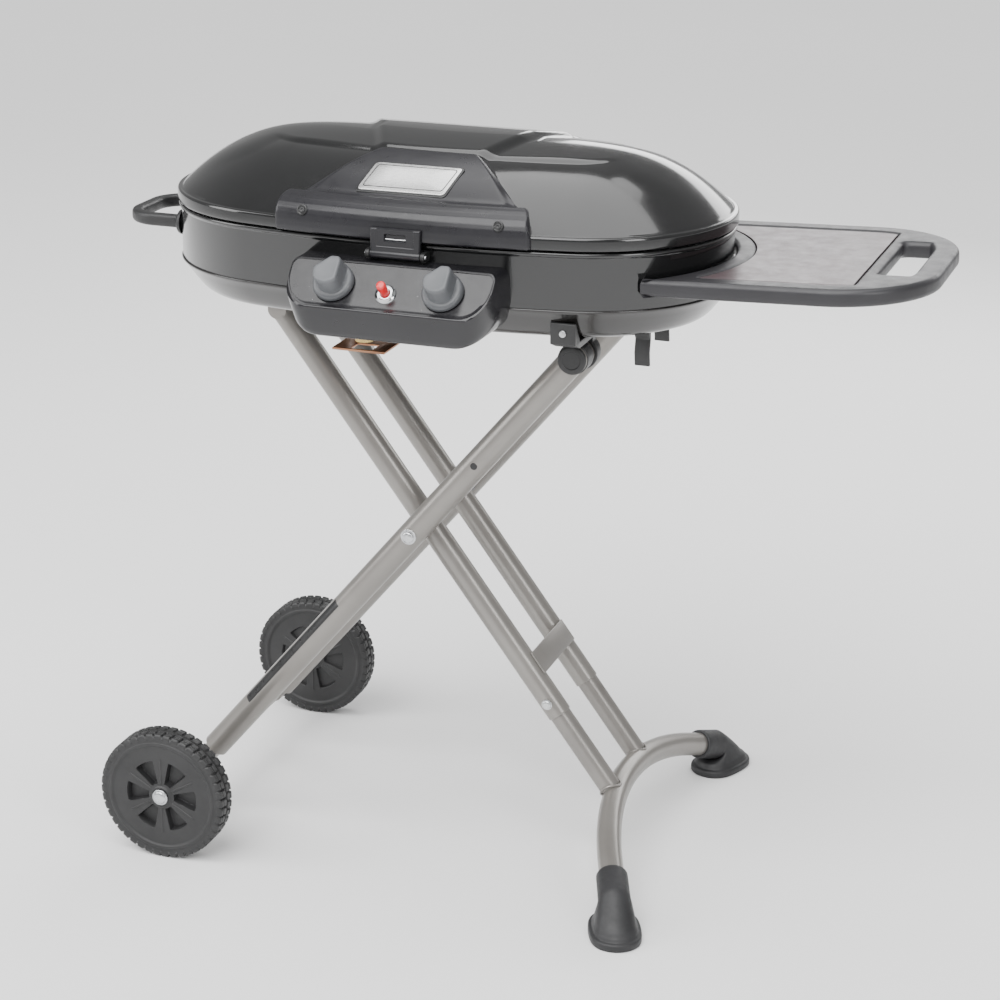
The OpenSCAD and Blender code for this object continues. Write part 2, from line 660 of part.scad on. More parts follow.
// rubber foot: a sleeve over the bar's end on a long round pad
foot_lean = atan2(sin(arch_angle) * sin(arch_tilt), cos(arch_angle));
arch_drop = arch_r * (1 - cos(arch_angle)) + (arch_end_y - arch_r * sin(arch_angle)) * tan(arch_angle);
arch_tip = on_b(arch_s, -arch_end_y) + arch_drop * [sin(arch_tilt), 0, -cos(arch_tilt)];
sleeve_r = arch_bar_r + 4;
pad_r = 31;
pad_long = 14;
pad_h = 11;
module foot() difference() {
  union() {
    translate([arch_tip[0] + 3, arch_tip[1] - 8, 0]) rotate([0, 0, foot_lean]) {
      translate([-pad_r, -pad_long, 0]) cube([2 * pad_r, 2 * pad_long, pad_h]);
      for (s = [-1, 1]) translate([0, s * pad_long, 0]) {
        cylinder(h = pad_h, r = pad_r);
        cylinder(h = pad_h + 6, r = pad_r - 6);
      }
      translate([-pad_r + 6, -pad_long, 0]) cube([2 * pad_r - 12, 2 * pad_long, pad_h + 6]);
    }
    on_arch() arch_end() translate([0, 0, 22]) cylinder(h = arch_end_len - 22, r = sleeve_r);
    translate(arch_tip) sphere(r = sleeve_r + 0.5);
    translate([arch_tip[0], arch_tip[1], 2]) cylinder(h = arch_tip[2] - 2, r = sleeve_r - 0.5);
  }
  on_arch() arch_end() translate([0, 0, -2]) cylinder(h = arch_end_len + 2, r = arch_bar_r);
}
module foot_front() color(plastic) place() foot();
module foot_rear() color(plastic) place() mirror([0, 1, 0]) foot();

// ================= under the pan =================
catch_x = 258;
catch_low = 639;
// one spring clip for each foot leg, on the leg's front side when the frame is folded
module leg_catches() color(plastic) place() for (y = [0, 2 * leg_b_y])
  translate([catch_x - y * 0.07, y, 0]) rotate([90, 0, 90]) linear_extrude(18, center = true)
    polygon([[-81, pan_z - 0.6], [-73, pan_z - 0.6], [-71.7, pan_z - 12], [-75, pan_z - 28],
             [-72, catch_low], [-76, catch_low], [-79, pan_z - 28], [-76, pan_z - 12], [-81, pan_z - 5]]);

rest_x = on_b(-arm, 0)[0];
rest_z = on_b(-arm, 0)[2] + crossbar_r;
module crossbar_rest() color(bright) place() difference() {
  box([rest_x - 40, -78, rest_z + 0.4], [rest_x + 30, 78, pan_z - 0.3]);
  box([rest_x - 37, -80, rest_z + 2.9], [rest_x + 27, 80, pan_z + 5]);
}

// ================= hinges and lid =================
hinge_x = 140;
hinge_y = 203;
hinge_z = 793;
hinge_r = 6;
hinge_pin_r = 3;
module hinge_brackets() color(bright) place() for (s = [-1, 1]) difference() {
  union() {
    for (e = [-1, 1]) {
      x = s * hinge_x + e * 14;
      along_x(hinge_y, hinge_z, x - 2, x + 2, hinge_r);
      box([x - 2, hinge_y - 6, wall_z + 36], [x + 2, hinge_y + 5, hinge_z]);
      box([x - 2, 170, wall_z + 36], [x + 2, hinge_y, seam_z]);
    }
    box([s * hinge_x - 16, 170, wall_z + 32], [s * hinge_x + 16, hinge_y + 5, wall_z + 36]);
  }
  along_x(hinge_y, hinge_z, s * hinge_x - 40, s * hinge_x + 40, hinge_pin_r);
  body_cut(0, 700, seam_z - 6);
  body_cut(bead, seam_z - 6.5, 900);
}
module hinge_pins() color(bright) place() for (s = [-1, 1])
  along_x(hinge_y, hinge_z, s * hinge_x - 18, s * hinge_x + 18, hinge_pin_r);
lid_gap = 2;
lid_low = seam_z + lid_gap;
module lid_hinges() color(bright) place() for (s = [-1, 1]) difference() {
  union() {
    along_x(hinge_y, hinge_z, s * hinge_x - 11, s * hinge_x + 11, hinge_r);
    box([s * hinge_x - 11, 176, lid_low + 4], [s * hinge_x + 11, hinge_y, lid_low + 9]);
  }
  along_x(hinge_y, hinge_z, s * hinge_x - 40, s * hinge_x + 40, hinge_pin_r + 0.05);
  body_cut(4, 700, 900);
}

// rings of the lid: the rim's upright band, its step and the dome
dome_insets = [6, 12, 22, 36, 52, 70, 90, 112, 136, 158, 174.5];
function dome_ring(d, drop) = [for (p = oval(d)) [p[0], p[1], dome(p[0], p[1]) - drop]];
module lid_shell() color(enamel) place() pressed_shell(
  concat([oval_ring(-4, lid_low), oval_ring(-4, lid_low + 12), oval_ring(0, lid_low + 14),
          oval_ring(1, rim_z - 2)],
         [for (d = dome_insets) dome_ring(d, 0)]),
  concat([oval_ring(-4 + sheet_t, lid_low), oval_ring(-4 + sheet_t, lid_low + 11), oval_ring(2.5, lid_low + 12),
          oval_ring(3.5, rim_z - 5)],
         [for (d = dome_insets) dome_ring(max(d, 6.5), sheet_t + 0.4)]));

// front trim: an upright band that follows the rim, then a plate that climbs the shoulder
trim_low = lid_low + 2;
trim_cols = 12;
trim_fold = 832;
// rows from the band's bottom edge up to the waist: inset and height of the outer face,
// inset and height of the inner face, half width; past the fold the heights are lifts off the dome
trim_rows = [
  [-11, trim_low, -4.3, trim_low, 152], [-11, 808, -4.3, 803, 152], [-4, 820, -2, 808, 150],
  [12, trim_fold, 13, 819, 147], [32, 5.4, 32, 3, 126], [53, 5.4, 53, 3, 107],
  [75, 5.4, 75, 3, 88], [90, 5.2, 90, 3, 75], [104, 5, 104, 3, 63]];
trim_fold_row = 3;
function trim_pt(r, c, k) =
  let (row = trim_rows[r], t = r / (len(trim_rows) - 1),
       x = front_x * (1 - t) + (2 * c / trim_cols - 1) * row[4],
       y = front_y(x) + row[k])
  [x, y, r <= trim_fold_row ? row[k + 1] : dome(x * 0.93, y) + row[k + 1]];
trim_out = [for (r = [0:len(trim_rows) - 1], c = [0:trim_cols]) trim_pt(r, c, 0)];
trim_in = [for (r = [0:len(trim_rows) - 1], c = [0:trim_cols]) trim_pt(r, c, 2)];
module trim_body() {
  w = trim_cols + 1;
  last = len(trim_rows) - 1;
  n = len(trim_in);
  e = trim_cols;
  b = last * w;
  polyhedron(
    points = concat(trim_in, trim_out),
    faces = concat(
      [for (r = [0:last - 1], c = [0:trim_cols - 1])
        [r * w + c + 1, (r + 1) * w + c + 1, (r + 1) * w + c, r * w + c]],
      [for (r = [0:last - 1], c = [0:trim_cols - 1])
        [n + (r + 1) * w + c, n + (r + 1) * w + c + 1, n + r * w + c + 1, n + r * w + c]],
      [for (c = [0:trim_cols - 1]) [n + c, n + c + 1, c + 1, c]],
      [for (c = [0:trim_cols - 1]) [b + c + 1, n + b + c + 1, n + b + c, b + c]],
      [for (r = [0:last - 1]) [(r + 1) * w, n + (r + 1) * w, n + r * w, r * w]],
      [for (r = [0:last - 1]) [n + r * w + e, n + (r + 1) * w + e, (r + 1) * w + e, r * w + e]]));
}
module lid_trim() color(plastic) place() difference() {
  trim_body();
  for (x = trim_screw_x) along_y(x, trim_screw_z, -230, front_y(117) - 4.6, 4);
  plate_solid(8);
}
trim_screw_z = 812;
trim_screw_x = [front_x - 124, front_x + 110];
module trim_screws() color(bright) place()
  for (x = trim_screw_x) along_y(x, trim_screw_z, front_y(117) - 8.5, front_y(117) - 4.7, 3.6);

plate_y = [-body_w / 2 + 32, -body_w / 2 + 75];
plate_low_z = dome(front_x, plate_y[0]) + 5;
plate_high_z = dome(front_x, plate_y[1]) + 5;
// the nameplate's outline, h thick, lying in its seat on the trim
module plate_solid(h) {
  translate([front_x, plate_y[0], plate_low_z])
    rotate([atan2(plate_high_z - plate_low_z, plate_y[1] - plate_y[0]), 0, 0]) translate([0, 1, 0])
      linear_extrude(h) polygon([[-67, 0], [41, 0], [52, 44], [-56, 44]]);
}
module nameplate() color(bright) place() plate_solid(2);

firebox_wall();
bottom_pan();
drip_tray();
burner_left();
burner_right();
grate_left();
grate_right();
gas_valves();
gas_manifold();
gas_inlet();
regulator_bracket();
control_panel();
igniter_collar();
igniter_unit();
spark_electrodes();
latch_bracket();
carry_handle();
table_frame();
table_panel();
table_brackets();
frame_screws();
pivot_bracket_front();
pivot_bracket_rear();
leg_catches();
crossbar_rest();
hinge_brackets();
hinge_pins();
lid_shell();
lid_trim();
trim_screws();
nameplate();
lid_hinges();
latch();
latch_pin();
knob_left();
knob_right();
valve_stem_left();
valve_stem_right();
igniter_button();
wheel_leg_front();
wheel_leg_rear();
top_pivot_pins();
top_pivot_caps();
axle_tube();
axle_rod();
axle_caps();
scissor_bolts();
scissor_spacers();
upper_leg_front();
upper_leg_rear();
lower_leg_front();
lower_leg_rear();
top_crossbar();
brace_plate();
leg_bolts();
foot_arch();
foot_front();
foot_rear();
wheel_front();
wheel_rear();
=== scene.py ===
import math

import bmesh
import bpy
import numpy as np
from mathutils import Matrix, Vector


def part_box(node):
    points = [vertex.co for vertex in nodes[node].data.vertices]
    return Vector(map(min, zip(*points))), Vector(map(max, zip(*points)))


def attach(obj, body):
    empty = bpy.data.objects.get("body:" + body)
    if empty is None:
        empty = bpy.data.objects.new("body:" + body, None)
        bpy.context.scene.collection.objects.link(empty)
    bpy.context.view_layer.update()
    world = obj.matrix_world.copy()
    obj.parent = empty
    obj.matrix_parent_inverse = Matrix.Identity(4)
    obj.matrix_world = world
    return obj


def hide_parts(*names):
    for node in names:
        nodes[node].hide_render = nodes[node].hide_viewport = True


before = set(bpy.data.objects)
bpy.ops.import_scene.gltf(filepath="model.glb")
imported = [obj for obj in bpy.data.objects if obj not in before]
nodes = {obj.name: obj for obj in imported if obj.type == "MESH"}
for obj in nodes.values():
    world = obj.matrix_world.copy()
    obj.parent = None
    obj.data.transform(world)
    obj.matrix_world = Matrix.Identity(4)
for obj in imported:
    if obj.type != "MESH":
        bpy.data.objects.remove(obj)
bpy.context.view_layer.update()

# ---- the part's own sizes, in millimetres from the middle of the firebox ----
rod_low, rod_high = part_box("axle_rod")
AXLE_X = -288.0
SHIFT = (rod_low[0] + rod_high[0]) * 500 - AXLE_X
BODY_L, BODY_W, END_R = 676.0, 380.0, 175.0
LONG_R = ((BODY_L / 2 - END_R) ** 2 + (BODY_W / 2) ** 2 - END_R ** 2) / (BODY_W - 2 * END_R)
LONG_C = LONG_R - BODY_W / 2
END_C = BODY_L / 2 - END_R
LONG_A = math.atan2(END_C, LONG_C)
RIM = 808.0
LID_TOP = 884.2
FRONT_X = 5.0


def metres(points):
    p = np.asarray(points, dtype=float)
    return (p + np.array([SHIFT, 0, 0])) / 1000


# ---- mesh helpers
def show(name, mesh, body, replaces, slot):
    """Links a mesh as a piece, parents it to the body it rides on and hides the nodes it stands for."""
    obj = bpy.data.objects.new(name, mesh)
    bpy.context.scene.collection.objects.link(obj)
    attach(obj, body)
    if replaces:
        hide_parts(*replaces)
    return obj


def make(name, points, faces, body, material, replaces=(), slot=None, sharp=34):
    """A mesh piece from points in millimetres, riding on a body."""
    mesh = bpy.data.meshes.new(name)
    mesh.from_pydata([tuple(v) for v in metres(points)], [], [tuple(int(i) for i in f) for f in faces])
    bm = bmesh.new()
    bm.from_mesh(mesh)
    bmesh.ops.remove_doubles(bm, verts=bm.verts, dist=1e-6)
    bmesh.ops.recalc_face_normals(bm, faces=bm.faces)
    bm.to_mesh(mesh)
    bm.free()
    for poly in mesh.polygons:
        poly.use_smooth = True
    mesh.set_sharp_from_angle(angle=math.radians(sharp))
    mesh.materials.append(material)
    return show(name, mesh, body, replaces, slot)


def grid_faces(rows, cols, wrap_cols=True):
    faces = []
    for r in range(rows - 1):
        for c in range(cols if wrap_cols else cols - 1):
            a, b = r * cols + c, r * cols + (c + 1) % cols
            faces.append((a, b, b + cols, a + cols))
    return faces


def loft(rings, cap_first=True, cap_last=True):
    """Points and faces of a surface through closed rings, each end closed by a fan."""
    rings = [np.asarray(r, dtype=float) for r in rings]
    n = len(rings[0])
    points = list(np.concatenate(rings))
    faces = grid_faces(len(rings), n)
    for cap, start in ((cap_first, 0), (cap_last, (len(rings) - 1) * n)):
        if cap:
            centre = len(points)
            points.append(np.mean(points[start:start + n], axis=0))
            faces += [(centre, start + i, start + (i + 1) % n) for i in range(n)]
    return points, faces


def join(parts):
    points, faces = [], []
    for p, f in parts:
        base = len(points)
        points += list(p)
        faces += [tuple(i + base for i in face) for face in f]
    return points, faces


def axes_for(direction):
    w = np.asarray(direction, dtype=float)
    w = w / np.linalg.norm(w)
    side = np.array([0, 1, 0]) if abs(w[1]) < 0.9 else np.array([1, 0, 0])
    u = np.cross(side, w)
    u /= np.linalg.norm(u)
    return u, np.cross(w, u), w


def turned(profile, origin, direction, segments=64, cap=True):
    """A lathe shape: profile is a list of (distance along the axis, radius)."""
    u, v, w = axes_for(direction)
    origin = np.asarray(origin, dtype=float)
    angles = np.linspace(0, 2 * math.pi, segments, endpoint=False)
    circle = np.outer(np.cos(angles), u) + np.outer(np.sin(angles), v)
    rings = [origin + h * w + r * circle for h, r in profile]
    return loft(rings, cap, cap)


def on_both_sides(profile, x, y, z, segments, cap=True):
    """A lathe shape on the front and its mirror image on the back, both pointing outwards."""
    return [turned(profile, (x, s * y, z), (0, s, 0), segments, cap) for s in (-1, 1)]


def swept(path, section, cap=True):
    """A tube with a closed section carried along a path without twisting."""
    path = np.asarray(path, dtype=float)
    tangents = np.gradient(path, axis=0)
    tangents /= np.linalg.norm(tangents, axis=1)[:, None]
    u, v, _ = axes_for(tangents[0])
    rings = []
    for p, t in zip(path, tangents):
        u = u - t * np.dot(u, t)
        u /= np.linalg.norm(u)
        v = np.cross(t, u)
        rings.append(p + np.outer(section[:, 0], u) + np.outer(section[:, 1], v))
    return loft(rings, cap, cap)


def round_section(r, n=40):
    a = np.linspace(0, 2 * math.pi, n, endpoint=False)
    return np.stack([r * np.cos(a), r * np.sin(a)], 1)


def soft_section(w, h, n=48, power=4.0):
    a = np.linspace(0, 2 * math.pi, n, endpoint=False)
    c, s = np.cos(a), np.sin(a)
    return np.stack([w / 2 * np.sign(c) * np.abs(c) ** (2 / power),
                     h / 2 * np.sign(s) * np.abs(s) ** (2 / power)], 1)


def rounded_outline(x0, x1, z0, z1, low, high, per_corner=14):
    """A rounded rectangle, counter-clockwise from its lower right corner: (x, z) points."""
    out = []
    for cx, cz, r, start in ((x1 - low, z0 + low, low, -90), (x1 - high, z1 - high, high, 0),
                             (x0 + high, z1 - high, high, 90), (x0 + low, z0 + low, low, 180)):
        for a in np.radians(np.linspace(start, start + 90, per_corner)):
            out.append((cx + r * math.cos(a), cz + r * math.sin(a)))
    return np.array(out)


def copy_of(node, name, body, material, slot, width=0.8, segments=3, angle=32):
    """A CAD node's shape with softened edges, standing for that node."""
    mesh = nodes[node].data.copy()
    mesh.materials.clear()
    bm = bmesh.new()
    bm.from_mesh(mesh)
    bmesh.ops.remove_doubles(bm, verts=bm.verts, dist=2e-6)
    bmesh.ops.dissolve_limit(bm, angle_limit=math.radians(0.6), verts=bm.verts, edges=bm.edges)
    bmesh.ops.recalc_face_normals(bm, faces=bm.faces)
    for layer in list(bm.loops.layers.uv):
        bm.loops.layers.uv.remove(layer)
    bm.to_mesh(mesh)
    bm.free()
    for poly in mesh.polygons:
        poly.use_smooth = True
    mesh.materials.append(material)
    obj = show(name, mesh, body, [node], slot)
    bevel = obj.modifiers.new("soft edges", "BEVEL")
    bevel.width = width / 1000
    bevel.segments = segments
    bevel.limit_method = "ANGLE"
    bevel.angle_limit = math.radians(angle)
    bevel.harden_normals = True


# ---- materials
class Nodes:
    """A small builder of node materials."""

    def __init__(self, name):
        self.material = bpy.data.materials.new(name)
        self.material.use_nodes = True
        self.tree = self.material.node_tree
        self.tree.nodes.clear()
        self.output = self.add("ShaderNodeOutputMaterial")
        self.shader = self.add("ShaderNodeBsdfPrincipled")
        self.link(self.shader, "BSDF", self.output, "Surface")
        self.coords = self.add("ShaderNodeTexCoord")

    def add(self, kind, **values):
        node = self.tree.nodes.new(kind)
        for key, value in values.items():
            setattr(node, key, value)
        return node

    def link(self, a, out, b, into):
        self.tree.links.new(a.outputs[out], b.inputs[into])

    def noise(self, scale, detail=4.0, rough=0.55, stretch=None, distortion=0.0):
        tex = self.add("ShaderNodeTexNoise")
        tex.inputs["Scale"].default_value = scale
        tex.inputs["Detail"].default_value = detail
        tex.inputs["Roughness"].default_value = rough
        tex.inputs["Distortion"].default_value = distortion
        if stretch:
            mapping = self.add("ShaderNodeMapping")
            mapping.inputs["Scale"].default_value = stretch
            self.link(self.coords, "Object", mapping, "Vector")
            self.link(mapping, "Vector", tex, "Vector")
        else:
            self.link(self.coords, "Object", tex, "Vector")
        return tex

    def voronoi(self, scale, feature="F1"):
        tex = self.add("ShaderNodeTexVoronoi", feature=feature)
        tex.inputs["Scale"].default_value = scale
        self.link(self.coords, "Object", tex, "Vector")
        return tex

    def ramp(self, source, out, low, high, a=0.3, b=0.7):
        node = self.add("ShaderNodeMapRange")
        node.inputs["From Min"].default_value = a
        node.inputs["From Max"].default_value = b
        node.inputs["To Min"].default_value = low
        node.inputs["To Max"].default_value = high
        self.link(source, out, node, "Value")
        return node

    def colours(self, source, out, stops):
        node = self.add("ShaderNodeValToRGB")
        ramp = node.color_ramp
        while len(ramp.elements) < len(stops):
            ramp.elements.new(0.5)
        for element, (at, colour) in zip(ramp.elements, stops):
            element.position = at
            element.color = (*colour, 1)
        self.link(source, out, node, "Fac")
        return node

    def bump(self, source, out, strength, distance, onto=None):
        node = self.add("ShaderNodeBump")
        node.inputs["Strength"].default_value = strength
        node.inputs["Distance"].default_value = distance
        self.link(source, out, node, "Height")
        if onto:
            self.link(onto, "Normal", node, "Normal")
        return node


def finish_of(name, dark, light, rough, spread=0.05, metallic=0.0, cloud=9.0, grain=900.0, grain_depth=0.00004,
              grain_strength=0.25, coat=0.0, coat_rough=0.08, cells=False, stretch=None,
              wave=0.0, wave_scale=14.0):
    """Colour and roughness that wander slowly, under a fine grain of the right size."""
    n = Nodes(name)
    slow = n.noise(cloud, 3.0, 0.5)
    tint = n.colours(slow, "Fac", [(0.32, dark), (0.68, light)])
    n.link(tint, "Color", n.shader, "Base Color")
    patches = n.noise(cloud * 5.3, 5.0, 0.62, stretch)
    shine = n.ramp(patches, "Fac", max(rough - spread, 0.02), rough + spread)
    n.link(shine, "Result", n.shader, "Roughness")
    fine = n.voronoi(grain) if cells else n.noise(grain, 3.0, 0.6, stretch)
    out = "Distance" if cells else "Fac"
    bump = n.bump(fine, out, grain_strength, grain_depth)
    if wave:
        broad = n.noise(wave_scale, 2.0, 0.4)
        bump = n.bump(broad, "Fac", 1.0, wave, bump)
    n.link(bump, "Normal", n.shader, "Normal")
    n.shader.inputs["Metallic"].default_value = metallic
    n.shader.inputs["Coat Weight"].default_value = coat
    n.shader.inputs["Coat Roughness"].default_value = coat_rough
    n.shader.inputs["IOR"].default_value = 1.5
    return n.material


ENAMEL = finish_of("gloss black enamel", (0.0055, 0.0057, 0.006), (0.008, 0.0082, 0.0084), 0.15, 0.035, cloud=7,
                   grain=520, grain_depth=0.00003, grain_strength=0.10, coat=0.5, coat_rough=0.05,
                   wave=0.00012, wave_scale=26)
PAN_ENAMEL = finish_of("pan enamel", (0.0085, 0.008, 0.0078), (0.014, 0.0125, 0.0118), 0.2, 0.04, cloud=7,
                       grain=520, grain_depth=0.00004, grain_strength=0.14, coat=0.4, coat_rough=0.08,
                       wave=0.00018, wave_scale=22)
TRIM = finish_of("satin black plastic", (0.0095, 0.0093, 0.0115), (0.0135, 0.013, 0.016), 0.3, 0.04, cloud=12,
                 grain=1500, grain_depth=0.00005, grain_strength=0.3)
PANEL = finish_of("panel plastic", (0.008, 0.0078, 0.0094), (0.0115, 0.011, 0.013), 0.24, 0.04, cloud=14,
                  grain=1700, grain_depth=0.00003, grain_strength=0.12, coat=0.15, coat_rough=0.2)
BLACK = finish_of("moulded black plastic", (0.012, 0.012, 0.0125), (0.02, 0.02, 0.0205), 0.45, 0.07, cloud=16,
                  grain=1300, grain_depth=0.00007, grain_strength=0.4)
TABLE_RIM_MAT = finish_of("charcoal table frame", (0.016, 0.0155, 0.0175), (0.024, 0.0232, 0.0262), 0.42, 0.06, cloud=11,
                      grain=1100, grain_depth=0.00008, grain_strength=0.4)
TABLE = finish_of("plum brown table top", (0.060, 0.042, 0.046), (0.078, 0.056, 0.060), 0.36, 0.06, cloud=10,
                  grain=760, grain_depth=0.00010, grain_strength=0.5, cells=True)
TUBE = finish_of("pewter tube paint", (0.225, 0.212, 0.197), (0.26, 0.247, 0.23), 0.32, 0.025, metallic=0.55,
                 cloud=13, grain=1900, grain_depth=0.00003, grain_strength=0.2, coat=0.15, coat_rough=0.15)
TUBE_IN = finish_of("inner tube paint", (0.21, 0.198, 0.185), (0.25, 0.237, 0.222), 0.34, 0.05, metallic=0.55,
                    cloud=13, grain=1900, grain_depth=0.00003, grain_strength=0.2)
RUBBER = finish_of("foot rubber", (0.011, 0.011, 0.012), (0.02, 0.02, 0.0215), 0.55, 0.08, cloud=21,
                   grain=900, grain_depth=0.00012, grain_strength=0.45)
WHEEL = finish_of("wheel plastic", (0.0125, 0.0125, 0.013), (0.0205, 0.0205, 0.021), 0.5, 0.07, cloud=19,
                  grain=1000, grain_depth=0.0001, grain_strength=0.45)
KNOB = finish_of("knob grey", (0.085, 0.089, 0.095), (0.108, 0.113, 0.12), 0.42, 0.06, cloud=28,
                 grain=1500, grain_depth=0.00008, grain_strength=0.45)
SKIRT = finish_of("knob skirt grey", (0.066, 0.069, 0.074), (0.085, 0.089, 0.095), 0.36, 0.06, cloud=28,
                  grain=1500, grain_depth=0.00006, grain_strength=0.35)
RED = finish_of("red button", (0.62, 0.012, 0.018), (0.72, 0.02, 0.024), 0.24, 0.05, cloud=60,
                grain=1500, grain_depth=0.00003, grain_strength=0.15, coat=0.4, coat_rough=0.1)
CHROME = finish_of("chrome", (0.62, 0.63, 0.64), (0.7, 0.71, 0.72), 0.1, 0.03, metallic=1.0, cloud=30,
                   grain=1200, grain_depth=0.00002, grain_strength=0.08)
ZINC = finish_of("zinc plate", (0.5, 0.51, 0.52), (0.64, 0.65, 0.66), 0.3, 0.07, metallic=1.0, cloud=70,
                 grain=420, grain_depth=0.00004, grain_strength=0.2, cells=True)
STEEL = finish_of("bare sheet steel", (0.33, 0.325, 0.32), (0.42, 0.415, 0.41), 0.34, 0.06, metallic=1.0, cloud=22,
                  grain=620, grain_depth=0.00004, grain_strength=0.25, stretch=(1, 7, 1))
# a copper colour with a metallic shine on the regulator bracket
COPPER = finish_of("copper-coloured bracket", (0.36, 0.17, 0.10), (0.50, 0.28, 0.17), 0.32, 0.06, metallic=0.85,
                   cloud=26, grain=700, grain_depth=0.00004, grain_strength=0.25)
BRASS = finish_of("brass", (0.50, 0.36, 0.14), (0.60, 0.45, 0.19), 0.28, 0.06, metallic=1.0, cloud=35,
                  grain=900, grain_depth=0.00004, grain_strength=0.2)
IRON = finish_of("cast iron", (0.017, 0.016, 0.016), (0.032, 0.031, 0.030), 0.55, 0.08, metallic=0.2, cloud=24,
                 grain=520, grain_depth=0.0003, grain_strength=0.6, cells=True)
CERAMIC = finish_of("ceramic", (0.70, 0.67, 0.60), (0.80, 0.77, 0.70), 0.25, 0.05, cloud=60,
                    grain=900, grain_depth=0.00003, grain_strength=0.2)
PLATE = finish_of("brushed nameplate", (0.60, 0.60, 0.595), (0.70, 0.70, 0.695), 0.27, 0.05, metallic=0.9, cloud=18,
                  grain=900, grain_depth=0.00003, grain_strength=0.3, stretch=(1, 14, 1))
# dark black for the leg label, the nameplate border and line and the screw wells; also the painted shade of the spare
# leg holes
LABEL_AND_HOLE_SHADE = finish_of("leg label and painted hole shade", (0.010, 0.010, 0.0105), (0.015, 0.015, 0.0155), 0.3, 0.05, cloud=30,
                  grain=1400, grain_depth=0.00002, grain_strength=0.15)
MARK = finish_of("white mark", (0.55, 0.56, 0.57), (0.66, 0.67, 0.68), 0.45, 0.05, cloud=80,
                 grain=1600, grain_depth=0.00002, grain_strength=0.2)
DOTS = finish_of("dotted print", (0.20, 0.20, 0.21), (0.27, 0.27, 0.28), 0.4, 0.06, cloud=50,
                 grain=1600, grain_depth=0.00002, grain_strength=0.2)

CARRIED = {
    "drip_tray": STEEL, "burner_left": STEEL, "burner_right": STEEL, "grate_left": IRON, "grate_right": IRON,
    "gas_valves": BRASS, "gas_manifold": STEEL, "gas_inlet": BRASS, "igniter_unit": BLACK,
    "spark_electrodes": CERAMIC, "valve_stem_left": BRASS, "valve_stem_right": BRASS}
for node_name, material in CARRIED.items():
    mesh = nodes[node_name].data
    mesh.materials.clear()
    mesh.materials.append(material)


# ---- the oval
def oval_dirs(ends, longs):
    """Outward directions once around, from the left tip along the front."""
    start, front, back = math.pi, 3 * math.pi / 2 - LONG_A, 3 * math.pi / 2 + LONG_A
    left = np.linspace(start, front, ends, endpoint=False)
    middle = np.linspace(front, back, longs, endpoint=False)
    right = np.linspace(back, 2 * math.pi, ends, endpoint=False)
    half = np.concatenate([left, middle, right])
    return np.concatenate([half, half + math.pi])


def oval(d, dirs):
    c, s = np.cos(dirs), np.sin(dirs)
    on_long = np.abs(c) <= math.sin(LONG_A) + 1e-6
    x = np.where(on_long, (LONG_R - d) * c, (END_R - d) * c + np.sign(c) * END_C)
    y = np.where(on_long, (LONG_R - d) * s - np.sign(s) * LONG_C, (END_R - d) * s)
    return np.stack([x, y], 1)


def oval_ring(d, z, dirs):
    p = oval(d, dirs)
    return np.column_stack([p, np.full(len(p), z)])


def front_y(x, d=0.0):
    x = np.abs(np.asarray(x, dtype=float))
    long_side = -(np.sqrt(np.maximum((LONG_R - d) ** 2 - x * x, 0)) - LONG_C)
    end_side = -np.sqrt(np.maximum((END_R - d) ** 2 - np.maximum(x - END_C, 0) ** 2, 0))
    return np.where(x < (LONG_R - d) * math.sin(LONG_A), long_side, end_side)


def inset_at(x, y):
    ax, ay = np.abs(x), np.abs(y)
    on_long = np.arctan2(ax, ay + LONG_C) < LONG_A
    return np.where(on_long, LONG_R - np.hypot(ax, ay + LONG_C), END_R - np.hypot(ax - END_C, ay))


def smooth(t):
    t = np.clip(t, 0, 1)
    return t * t * (3 - 2 * t)


def soft_min(a, b, k):
    h = np.maximum(k - np.abs(a - b), 0) / k
    return np.minimum(a, b) - h * h * k / 4


BAND_RISE = 6.0
WAIST = 62.0
WAIST_Y = -84.0


def dome(x, y):
    """Height of the lid's outer surface."""
    x, y = np.asarray(x, dtype=float), np.asarray(y, dtype=float)
    ax, ay = np.abs(x), np.abs(y)
    d = np.maximum(inset_at(x, y), 0)
    past = np.maximum(ax - END_C, 0)
    angle = np.degrees(np.arctan2(ay, np.maximum(past, 1e-3)))
    # where the front shoulder gives way to the end shoulder, a soft crease across the corner
    corner = 26 + 14 * np.clip((d - 20) / 50, 0, 1.2)
    endness = smooth((corner + 15 - angle) / 30)
    endness = 0.62 * endness + 0.38 * (past / np.maximum(np.hypot(past, ay), 1)) ** 2
    end = RIM - 4 + 77 * (1 - (1 - np.minimum(d, 170) / 170) ** 2.2) + 0.5 * np.maximum(d - 145, 0)
    side = RIM - 2 + 60 * (1 - (1 - np.minimum(d, 122) / 122) ** 1.6) + 0.8 * np.maximum(d - 112, 0)
    shoulder = endness * end + (1 - endness) * side
    crown = np.sqrt(ay * ay + 26 ** 2) - 26
    wing = LID_TOP - BAND_RISE - 0.19 * crown - 20 * (np.maximum(ax - WAIST, 0) / 205) ** 4
    base = soft_min(wing, shoulder, 3.2 + 5.0 * np.clip((ax - 170) / 90, 0, 1))
    half = np.where(y > WAIST_Y, WAIST + (y - WAIST_Y) * 0.42, WAIST + (WAIST_Y - y) * 0.85)
    rise = BAND_RISE * smooth((half - ax) / 15 + 0.5) * smooth(d / 70)
    return base + rise - 2.2 * (ay / 130) ** 2


OVAL = oval_dirs(96, 90)


